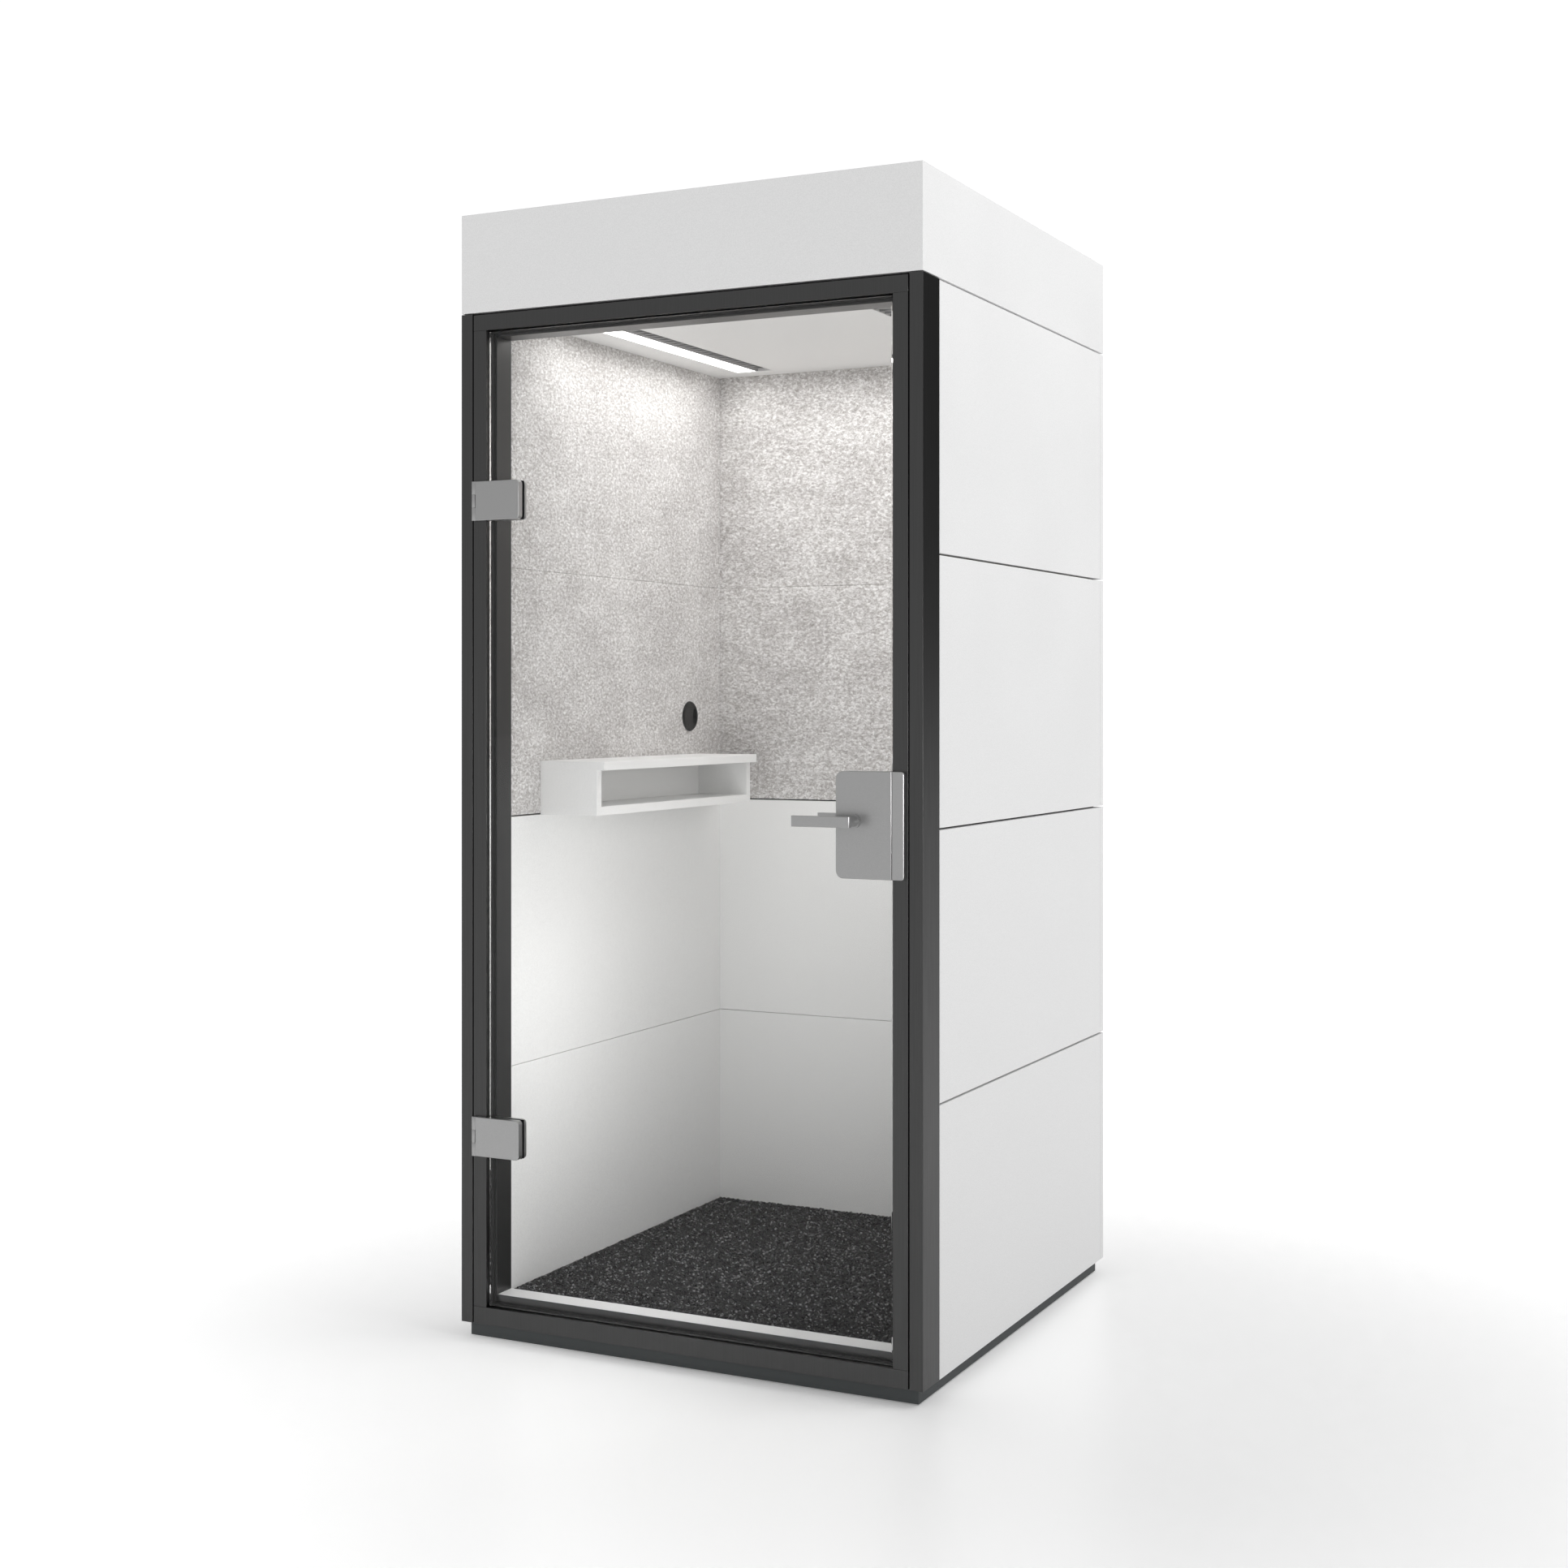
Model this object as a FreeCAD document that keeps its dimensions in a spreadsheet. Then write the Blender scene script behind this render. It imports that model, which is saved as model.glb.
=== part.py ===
"""A free-standing acoustic phone booth with a glass door, built as separate pieces.

Frame: millimetres, +Z up, the door faces -Y, +X is to the right of somebody facing the door.
The origin is on the floor, under the middle of the whole booth with its lever handle.
"""
import FreeCAD, Part
import math
import os
import re
import Sketcher

Vector = FreeCAD.Vector
Rotation = FreeCAD.Rotation

# ---------------------------------------------------------------- driving dimensions
SIZES = {
    "overall_width": (1000, "width over the side panels"),
    "overall_depth": (1044, "depth from the door frame to the back panels"),
    "overall_height": (2245, "height from the floor to the crown's rim"),
    "base_height": (30, "height of the plinth under the panels"),
    "crown_height": (197, "height of the crown"),
    "panel_gap": (4, "shadow gap between outer panels, and under the crown"),
    "wall": (67, "thickness of a whole wall"),
    "outer_board": (18, "thickness of an outer panel"),
    "inner_board": (16, "thickness of a lining board or a felt panel"),
    "post_wide": (26.5, "width of a corner post on the front"),
    "post_deep": (78, "depth of a corner post on the side"),
    "post_gap": (2.5, "groove between a corner post and the door frame"),
    "groove_deep": (18, "depth of that groove"),
    "corner_gap": (2, "groove between side panel and post, and side panel and back panel"),
    "frame_face": (30.5, "width of the door frame's front face"),
    "frame_deep": (80, "depth of the door frame"),
    "rebate_deep": (28, "depth from the frame's face to the lip that the door closes on"),
    "sill_face": (34.5, "height of the sill's front face"),
    "head_drop": (3, "top of the frame's head below the wall frames' top"),
    "head_face": (31.5, "height of the head's front face"),
    "head_lip": (10.5, "height of the head's lip"),
    "chamber_wall": (3, "wall of the frame's hollow sections"),
    "floor_level": (85, "top of the carpet above the floor"),
    "deck_thick": (30, "thickness of the base deck"),
    "carpet_thick": (6, "thickness of the carpet"),
    "strip_thick": (3, "thickness of the threshold strip"),
    "soft_gap": (0.3, "clearance round carpet, seals and insulation"),
    "plinth_inset": (14, "plinth set back from the panels"),
    "plinth_thick": (10, "thickness of the plinth skirt"),
    "plinth_lift": (2, "gap under the plinth skirt"),
    "base_rail": (50, "width of the base frame's rails"),
    "base_rail_lift": (12, "underside of the base frame above the floor"),
    "foot_radius": (20, "radius of a levelling foot's pad"),
    "foot_pad": (6, "height of a levelling foot's pad"),
    "foot_stem": (5, "radius of a levelling foot's stem"),
    "stem_gap": (0.1, "radial clearance round a foot's stem"),
    "stud_wide": (45, "width of a wall frame's studs"),
    "lining_joint": (1, "joint between lining boards"),
    "felt_shadow": (3, "shadow gap under the lower felt panels"),
    "felt_joint": (0.5, "joint between felt panels"),
    "crown_board": (18, "thickness of the crown's boards"),
    "roof_beam": (33, "width of the roof frame's beams"),
    "roof_beam_tall": (60, "height of the roof frame's beams"),
    "ceiling_thick": (18, "thickness of the ceiling panel"),
    "lid_thick": (18, "thickness of the roof lid"),
    "lid_drop": (12, "roof lid below the crown's rim"),
    "lid_gap": (0.5, "clearance round the roof lid"),
    "ledge_wide": (20, "width and height of the crown's ledge that carries the roof lid"),
    "fixture_inset": (76.5, "space between a light fixture and the side wall"),
    "fixture_wide": (94, "width of a light fixture"),
    "fixture_end": (58, "space between a fixture's end and the cabin's wall"),
    "fixture_sheet": (2, "thickness of the fixture's sheet"),
    "fixture_tall": (50, "height of the fixture's channel"),
    "divider_at": (52, "divider between light and air slot, from the fixture's outer edge"),
    "diffuser_thick": (3, "thickness of the light diffuser"),
    "fin_pitch": (27, "pitch of the louvre's fins"),
    "fin_tall": (12, "height of the louvre's fins"),
    "fin_base": (3, "thickness of the louvre's base strip"),
    "slot_gap": (0.3, "clearance of diffuser and louvre in the fixture"),
    "fan_size": (120, "side of a ventilation fan"),
    "fan_deep": (32, "depth of a ventilation fan"),
    "fan_bore": (56, "radius of a fan's duct"),
    "fan_at": (200, "fan centre from the booth's centre line"),
    "blade_tip": (54, "radius of the fan's blades"),
    "hub_radius": (19, "radius of the fan's hub"),
    "motor_radius": (17, "radius of the fan's motor boss"),
    "fan_shaft": (2.5, "radius of the fan's shaft"),
    "running_gap": (0.05, "radial running clearance of shafts and pins"),
    "grille_thick": (2, "thickness of a fan's guard"),
    "driver_long": (180, "length of the light driver"),
    "driver_wide": (60, "width of the light driver"),
    "driver_tall": (34, "height of the light driver"),
    "inlet_wide": (48, "width of the mains inlet's flange"),
    "inlet_tall": (30, "height of the mains inlet's flange"),
    "inlet_deep": (26, "depth of the mains inlet"),
    "inlet_wall": (4, "wall of the mains inlet"),
    "shelf_start": (188, "front end of the shelf from the door frame's face"),
    "shelf_end": (107, "space between the shelf's rear end and the back wall"),
    "shelf_deep": (136, "depth of the shelf's box"),
    "shelf_overhang": (17, "shelf top past its box"),
    "shelf_tall": (111, "height of the shelf"),
    "shelf_board": (18, "thickness of the shelf's boards"),
    "shelf_back_thick": (10, "thickness of the shelf's back"),
    "shelf_ease": (1, "eased edge of the shelf's top"),
    "grommet_at": (152, "cable grommet's centre from the back wall"),
    "grommet_up": (88, "cable grommet's centre above the shelf"),
    "grommet_rim": (35, "radius of the grommet's rim"),
    "grommet_hole": (30, "radius of the hole in the felt panel"),
    "grommet_gap": (0.2, "clearance of the grommet in that hole"),
    "grommet_proud": (5, "grommet's rim above the felt"),
    "cap_radius": (26, "radius of the grommet's turning cap"),
    "cap_thick": (4, "thickness of the cap"),
    "cap_ledge": (3, "width of the ledge behind the cap"),
    "cap_slot": (15, "depth of the cable slot in the cap"),
    "cap_slot_tall": (32, "height of that slot"),
    "glass_thick": (8, "thickness of the glass"),
    "glass_setback": (5, "glass behind the frame's face"),
    "glass_gap": (4, "gap between the glass and the frame at the sides"),
    "glass_end_gap": (3.5, "gap between the glass and the frame at top and bottom"),
    "seal_wide": (5, "width of the door seal"),
    "hinge_inset": (375, "hinge centre from the sill line and from the crown's shadow gap"),
    "hinge_tall": (78, "height of a hinge"),
    "hinge_wide": (108, "hinge plate's far edge from the pin"),
    "pin_inset": (5, "hinge pin from the door frame's outer edge"),
    "hinge_bolt_near": (61, "nearer hinge bolt from the pin"),
    "hinge_bolt_far": (88, "farther hinge bolt from the pin"),
    "pin_proud": (5, "hinge pin in front of the frame's face"),
    "pin_radius": (2.5, "radius of a hinge pin"),
    "barrel_radius": (5, "radius of a hinge barrel"),
    "barrel_gap": (0.2, "gap between a hinge's knuckles"),
    "leaf_thick": (2.5, "thickness of the hinge leaf on the frame"),
    "plate_proud": (10, "hinge and lock plates in front of the frame's face"),
    "plate_corner": (8, "corner radius of the hinge plates"),
    "plate_bevel": (1, "bevel round hinge plates and lock covers"),
    "pad_thick": (1, "thickness of the pads between plates and glass"),
    "rear_plate": (7.5, "thickness of the hinge plates behind the glass"),
    "lip_gap": (3, "clearance between the plates behind the glass and the frame's lip"),
    "bolt_radius": (4, "radius of the hinge bolts"),
    "bolt_head": (7, "radius of the hinge bolts' heads"),
    "glass_hole": (8, "radius of the hinge holes in the glass"),
    "lock_wide": (110.8, "width of the lock's front cover"),
    "lock_overlap": (1.8, "lock's front cover over the frame's face"),
    "lock_bottom": (949, "bottom of the lock above the floor"),
    "lock_tall": (196, "height of the lock"),
    "lock_corner": (14, "corner radius of the lock's covers"),
    "lock_wall": (3, "wall of the lock's covers"),
    "lock_rear_deep": (12, "depth of the lock's rear cover"),
    "strike_gap": (0.8, "gap between the lock and its keeper, and the frame's face"),
    "keeper_wide": (23.4, "width of the keeper"),
    "keeper_corner": (5, "corner radius of the keeper"),
    "latch_thick": (4, "thickness of the latch bolt"),
    "latch_tall": (16, "height of the latch bolt"),
    "latch_throw": (10, "travel of the latch bolt"),
    "latch_skin": (3.5, "cover in front of the latch bolt"),
    "lever_reach": (55, "front of the lever from the frame's face"),
    "spindle_backset": (73.8, "lever's spindle from the lock's outer edge"),
    "spindle_up": (105, "lever's spindle above the lock's bottom"),
    "lever_thick": (10, "thickness of the lever's bar"),
    "lever_tall": (20, "height of the lever's bar"),
    "lever_long": (106, "lever's free end from its spindle"),
    "lever_heel": (10, "lever's other end from its spindle"),
    "neck_radius": (10, "radius of the lever's neck"),
    "rose_radius": (13, "radius of the lever's rose"),
    "rose_thick": (3, "thickness of the lever's rose"),
    "spindle_radius": (5, "radius of the spindle"),
    "cam_radius": (11, "radius of the spindle's cam"),
    "cam_gap": (4, "gap between the cam and the latch bolt at rest"),
    "screw_inset": (24, "lock screws from the lock's top and bottom"),
    "screw_radius": (2.4, "radius of the lock's screws"),
    "screw_head": (4, "radius of the lock screws' heads"),
    "head_thick": (2.5, "thickness of bolt and screw heads"),
    "head_sunk": (0.5, "bolt and screw heads under the plate's face"),
    "thread_deep": (8, "bolt's length in the front plate"),
    "key_size": (2.5, "radius of the hinge bolts' key holes"),
    "key_small": (1.5, "radius of the lock screws' key holes"),
    "inlet_at": (300, "mains inlet from the booth's centre line"),
    "inlet_up": (20, "mains inlet above the roof frame"),
    "arm_wide": (8, "width of the arms that hold a fan's motor"),
    "arm_thick": (4, "thickness of those arms"),
    "motor_tall": (12, "height of the motor's boss"),
    "rotor_gap": (2, "rotor above the fan's inlet side"),
    "hub_tall": (16, "height of the fan's hub"),
    "blade_tall": (12, "height of the fan's blades"),
    "shaft_long": (9, "length of the fan's shaft above its hub"),
    "guard_rim": (6, "guard's rim past the duct"),
    "guard_bar": (4, "half the width of a guard's slot, and its distance from the rim"),
    "leaf_gap": (0.5, "clearance between a hinge's front plate and its frame leaf"),
    "pocket_deep": (14, "depth of the cable pocket behind the felt"),
    "grommet_bevel": (3, "bevel of the grommet's rim"),
    "cap_sunk": (1, "cap under the grommet's rim"),
    "diffuser_up": (1, "diffuser and louvre above the ceiling's face"),
}

# ---------------------------------------------------------------- derived places, as expressions
HALF = "overall_width / 2"
FRONT = "((lever_reach - overall_depth) / 2)"
BACK = "((lever_reach + overall_depth) / 2)"
PITCH = "((overall_height - crown_height - panel_gap / 2 - base_height) / 4)"
BODY_TOP = "(overall_height - crown_height - panel_gap / 2)"
CROWN_BOTTOM = "(overall_height - crown_height)"
CABIN = "(overall_width / 2 - wall)"
CORE_OUT = "(overall_width / 2 - outer_board)"
CORE_IN = "(overall_width / 2 - wall + inner_board)"
CABIN_FRONT = f"({FRONT} + frame_deep)"
CABIN_BACK = f"({BACK} - wall)"
CORE_BACK_IN = f"({BACK} - wall + inner_board)"
CORE_BACK_OUT = f"({BACK} - outer_board)"
DECK_TOP = "(base_height + deck_thick)"
FRAME_OUT = "(overall_width / 2 - post_wide - post_gap)"
OPENING = "(overall_width / 2 - post_wide - post_gap - frame_face)"
OPENING_BOTTOM = "(base_height + sill_face)"
HEAD_TOP = "(overall_height - crown_height - panel_gap / 2 - head_drop)"
OPENING_TOP = f"({HEAD_TOP} - head_face)"
LIP_TOP = f"({HEAD_TOP} - head_face - head_lip)"
GLASS_FRONT = f"({FRONT} + glass_setback)"
GLASS_REAR = f"({FRONT} + glass_setback + glass_thick)"
GLASS_BOTTOM = f"({OPENING_BOTTOM} + glass_end_gap)"
GLASS_TOP = f"({OPENING_TOP} - glass_end_gap)"
SHELF_BOTTOM = f"(base_height + 2 * {PITCH})"
GROMMET_Y = f"({BACK} - wall - grommet_at)"
GROMMET_Z = f"({SHELF_BOTTOM} + shelf_tall + grommet_up)"
PIN_X = f"-({FRAME_OUT} - pin_inset)"
PIN_Y = f"({FRONT} - pin_proud)"
HINGE_EDGE = f"({PIN_X} + hinge_wide)"
HINGE_BOLTS = (f"({PIN_X} + hinge_bolt_near)", f"({PIN_X} + hinge_bolt_far)")
PLATE_REAR = f"({FRONT} - leaf_thick - leaf_gap)"
LOCK_RIGHT = f"({OPENING} + lock_overlap)"
LOCK_LEFT = f"({LOCK_RIGHT} - lock_wide)"
LOCK_REAR_RIGHT = f"({CABIN} - lip_gap)"
LOCK_Z = ("lock_bottom", "(lock_bottom + lock_tall)")
SCREW_X = f"(({LOCK_LEFT} + {LOCK_REAR_RIGHT}) / 2)"
SCREW_HEIGHTS = ("(lock_bottom + screw_inset)", "(lock_bottom + lock_tall - screw_inset)")
SPINDLE_X = f"({LOCK_RIGHT} - spindle_backset)"
SPINDLE_Z = "(lock_bottom + spindle_up)"
HINGE_HEIGHTS = {"lower": "(base_height + hinge_inset)", "upper": f"({BODY_TOP} - hinge_inset)"}
LID_TOP = "(overall_height - lid_drop)"
LID_BOTTOM = "(overall_height - lid_drop - lid_thick)"
FIXTURE_OUT = f"({CABIN} - fixture_inset)"
FIXTURE_ENDS = (f"({CABIN_FRONT} + fixture_end)", f"({CABIN_BACK} - fixture_end)")
FAN_Y = f"(({CABIN_FRONT} + {CABIN_BACK}) / 2)"

doc = FreeCAD.newDocument("phone_booth")
sheet = doc.addObject("Spreadsheet::Sheet", "Sizes")
for row, (alias, (value, note)) in enumerate(SIZES.items(), start=1):
    sheet.set(f"A{row}", note)
    sheet.set(f"B{row}", str(value))
    sheet.setAlias(f"B{row}", alias)
doc.recompute()

NODES = {}
WORD = re.compile(r"[a-z][a-z_]*")


def bound(text):
    """Return the expression with each size's name pointed at its cell of the sheet."""
    def named(found):
        word = found.group(0)
        return f"Sizes.{word}" if word in SIZES else word

    return WORD.sub(named, str(text))


def place(item, spot):
    """Bind an object's place to three expressions."""
    for axis, text in zip("xyz", spot):
        item.setExpression(f"Placement.Base.{axis}", bound(text))
    return item


def node(name, item):
    """Register an object as the sub-part called name."""
    item.Label = name
    NODES[name] = item
    return item


# ---------------------------------------------------------------- Part primitives and booleans
def block(name, x, y, z):
    """A box between two expressions on each axis."""
    item = doc.addObject("Part::Box", name)
    for side, (low, high) in zip(("Length", "Width", "Height"), (x, y, z)):
        item.setExpression(side, bound(f"({high}) - ({low})"))
    return place(item, (x[0], y[0], z[0]))


TURN = {"x": Rotation(Vector(0, 1, 0), 90), "y": Rotation(Vector(1, 0, 0), -90), "z": Rotation()}


def rod(name, axis, spot, radius, length):
    """A cylinder that starts at spot and runs along an axis."""
    item = doc.addObject("Part::Cylinder", name)
    item.Placement = FreeCAD.Placement(Vector(), TURN[axis])
    item.setExpression("Radius", bound(radius))
    item.setExpression("Height", bound(length))
    return place(item, spot)


def fuse(name, *pieces):
    """One solid out of several that touch."""
    item = doc.addObject("Part::MultiFuse", name)
    item.Shapes = list(pieces)
    item.Refine = True
    return item


def cut(name, base, *tools):
    """The base without the tools."""
    item = doc.addObject("Part::Cut", name)
    item.Base = base
    item.Tool = tools[0] if len(tools) == 1 else fuse(name + "_tools", *tools)
    item.Refine = True
    return item


def group(name, *pieces):
    """Several separate solids that share one node."""
    item = doc.addObject("Part::Compound", name)
    item.Links = list(pieces)
    return item


def on_side(side, inner, outer):
    """The low and high end on X of a piece between two distances from the centre line."""
    if side == "left":
        return (f"-({outer})", f"-({inner})")
    return (inner, outer)


def both_ways(extent):
    """An extent that is symmetric about the centre line."""
    return (f"-({extent})", extent)


# ---------------------------------------------------------------- PartDesign bodies
def start_body(name, spot=("0", "0", "0")):
    """An empty body whose origin stands at spot."""
    return place(doc.addObject("PartDesign::Body", name), spot)


def sketch_on(body, role, lift="0"):
    """A sketch on one of the body's own origin planes, lifted along the plane's normal."""
    sketch = body.newObject("Sketcher::SketchObject", body.Name + "_sketch")
    plane = next(item for item in body.Origin.OriginFeatures if item.Role == role)
    sketch.AttachmentSupport = (plane, [""])
    sketch.MapMode = "FlatFace"
    if lift != "0":
        sketch.setExpression("AttachmentOffset.Base.z", bound(lift))
    return sketch


def fix_point(sketch, curve, point, spot):
    """Bind one point of a curve to a pair of expressions."""
    for kind, text in zip(("DistanceX", "DistanceY"), spot):
        index = sketch.addConstraint(Sketcher.Constraint(kind, -1, 1, curve, point, 1.0))
        sketch.setExpression(f"Constraints[{index}]", bound(text))


def outline(sketch, points):
    """Draw a closed outline of straight lines through points given as pairs of expressions."""
    count = len(points)
    first = sketch.GeometryCount
    ring = [
        Vector(100 * math.cos(math.tau * step / count), 100 * math.sin(math.tau * step / count), 0)
        for step in range(count)
    ]
    for step in range(count):
        sketch.addGeometry(Part.LineSegment(ring[step], ring[(step + 1) % count]), False)
    for step in range(count):
        following = first + (step + 1) % count
        sketch.addConstraint(Sketcher.Constraint("Coincident", first + step, 2, following, 1))
    for step, spot in enumerate(points):
        fix_point(sketch, first + step, 1, spot)


def rectangle(sketch, u, v):
    """Draw a rectangle between two expressions on each of the sketch's axes."""
    outline(sketch, [(u[0], v[0]), (u[1], v[0]), (u[1], v[1]), (u[0], v[1])])


def circle(sketch, centre, radius):
    """Draw a circle with its centre and radius bound to expressions."""
    curve = sketch.addGeometry(Part.Circle(Vector(1, 1, 0), Vector(0, 0, 1), 1), False)
    fix_point(sketch, curve, 3, centre)
    index = sketch.addConstraint(Sketcher.Constraint("Radius", curve, 1.0))
    sketch.setExpression(f"Constraints[{index}]", bound(radius))


def pad(body, sketch, length):
    """Raise a sketch along its normal."""
    feature = body.newObject("PartDesign::Pad", body.Name + "_pad")
    feature.Profile = sketch
    feature.setExpression("Length", bound(length))
    return feature


def pocket(body, sketch, length):
    """Sink a sketch along its normal, away from which the pocket is lifted."""
    feature = body.newObject("PartDesign::Pocket", body.Name + "_pocket")
    feature.Profile = sketch
    feature.Reversed = True
    feature.setExpression("Length", bound(length))
    return feature


def turned(body, sketch):
    """Turn a sketch once round its own vertical axis."""
    feature = body.newObject("PartDesign::Revolution", body.Name + "_turned")
    feature.Profile = sketch
    feature.ReferenceAxis = (sketch, ["V_Axis"])
    feature.Angle = 360
    return feature


def round_edges(body, radius, wanted, kind="Fillet"):
    """Fillet or chamfer the edges of the body's tip that the test picks."""
    doc.recompute()
    base = body.Tip
    shape = base.Shape
    box = shape.BoundBox
    names = [f"Edge{index}" for index, edge in enumerate(shape.Edges, start=1) if wanted(edge, box)]
    feature = body.newObject("PartDesign::" + kind, body.Name + "_edges")
    feature.Base = (base, names)
    feature.setExpression("Radius" if kind == "Fillet" else "Size", bound(radius))
    body.Tip = feature
    return feature


NEAR = 0.01


def along(edge, axis):
    """Whether a straight edge runs along an axis."""
    if edge.Curve.TypeId != "Part::GeomLine":
        return False
    return abs(getattr(edge.tangentAt(edge.FirstParameter), axis)) > 1 - NEAR


def at_front(edge, box):
    """Whether an edge lies in the frontmost plane."""
    return edge.BoundBox.YMax < box.YMin + NEAR


def at_back(edge, box):
    """Whether an edge lies in the rearmost plane."""
    return edge.BoundBox.YMin > box.YMax - NEAR


def free_top_edge(edge, box):
    """Whether an edge is on top and not against the left wall."""
    return edge.BoundBox.ZMin > box.ZMax - NEAR and edge.BoundBox.XMax > box.XMin + 1


def left_corner(edge, box):
    """Whether an edge is an upright plate's corner on the left, through its thickness."""
    return along(edge, "y") and edge.BoundBox.XMax < box.XMin + NEAR


def right_corner(edge, box):
    """Whether an edge is an upright plate's corner on the right, through its thickness."""
    return along(edge, "y") and edge.BoundBox.XMin > box.XMax - NEAR


def profile(name, role, points, low, high):
    """A straight extrusion of an outline between two places on the plane's normal."""
    normal = {"XY_Plane": 2, "XZ_Plane": 1, "YZ_Plane": 0}[role]
    spot = ["0", "0", "0"]
    spot[normal] = high if role == "XZ_Plane" else low
    body = start_body(name, spot)
    sketch = sketch_on(body, role)
    outline(sketch, points)
    pad(body, sketch, f"({high}) - ({low})")
    return body


# ---------------------------------------------------------------- base
def make_base():
    """Plinth, base frame, feet, deck and floor."""
    outer = f"({HALF} - plinth_inset)"
    inner = f"({HALF} - plinth_inset - plinth_thick)"
    plinth_y = (f"{FRONT} + plinth_inset", f"{BACK} - plinth_inset")
    inner_y = (f"{plinth_y[0]} + plinth_thick", f"{plinth_y[1]} - plinth_thick")
    node("plinth_skirt", cut(
        "plinth_skirt",
        block("plinth_solid", both_ways(outer), plinth_y, ("plinth_lift", "base_height")),
        block("plinth_hollow", both_ways(inner), inner_y, ("0", "base_height + 1")),
    ))
    rail = f"({inner} - base_rail)"
    rail_y = (f"{inner_y[0]} + base_rail", f"{inner_y[1]} - base_rail")
    rail_z = ("base_rail_lift", "base_height")
    foot_x = f"({inner} - base_rail / 2)"
    foot_y = (f"({inner_y[0]} + base_rail / 2)", f"({inner_y[1]} - base_rail / 2)")
    stem_top = "base_height - 4"
    holes = []
    feet = []
    for across in (f"-{foot_x}", foot_x):
        for along_y in foot_y:
            mark = f"{len(feet)}"
            start = (across, along_y, "0")
            hole_start = (across, along_y, "base_rail_lift - 1")
            hole_long = f"{stem_top} + 1 - base_rail_lift"
            holes.append(rod("stem_hole" + mark, "z", hole_start, "foot_stem + stem_gap", hole_long))
            feet.append(fuse(
                "foot" + mark,
                rod("foot_pad" + mark, "z", start, "foot_radius", "foot_pad"),
                rod("foot_nut" + mark, "z", start, "foot_stem * 2", "base_rail_lift"),
                rod("foot_stem" + mark, "z", start, "foot_stem", stem_top),
            ))
    node("base_frame", cut(
        "base_frame",
        block("rail_solid", both_ways(inner), inner_y, rail_z),
        block("rail_hollow", both_ways(rail), rail_y, ("0", "base_height + 1")),
        *holes,
    ))
    node("levelling_feet", group("levelling_feet", *feet))
    deck_z = ("base_height", DECK_TOP)
    node("base_deck", block("base_deck", both_ways(CORE_OUT), (CABIN_FRONT, CORE_BACK_OUT), deck_z))
    floor_y = (CABIN_FRONT, CABIN_BACK)
    node("subfloor", block("subfloor", both_ways(CABIN), floor_y, (DECK_TOP, "floor_level - carpet_thick")))
    carpet_y = (f"{CABIN_FRONT} + soft_gap", f"{CABIN_BACK} - soft_gap")
    carpet_z = ("floor_level - carpet_thick", "floor_level")
    node("carpet", block("carpet", both_ways(f"{CABIN} - soft_gap"), carpet_y, carpet_z))


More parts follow.
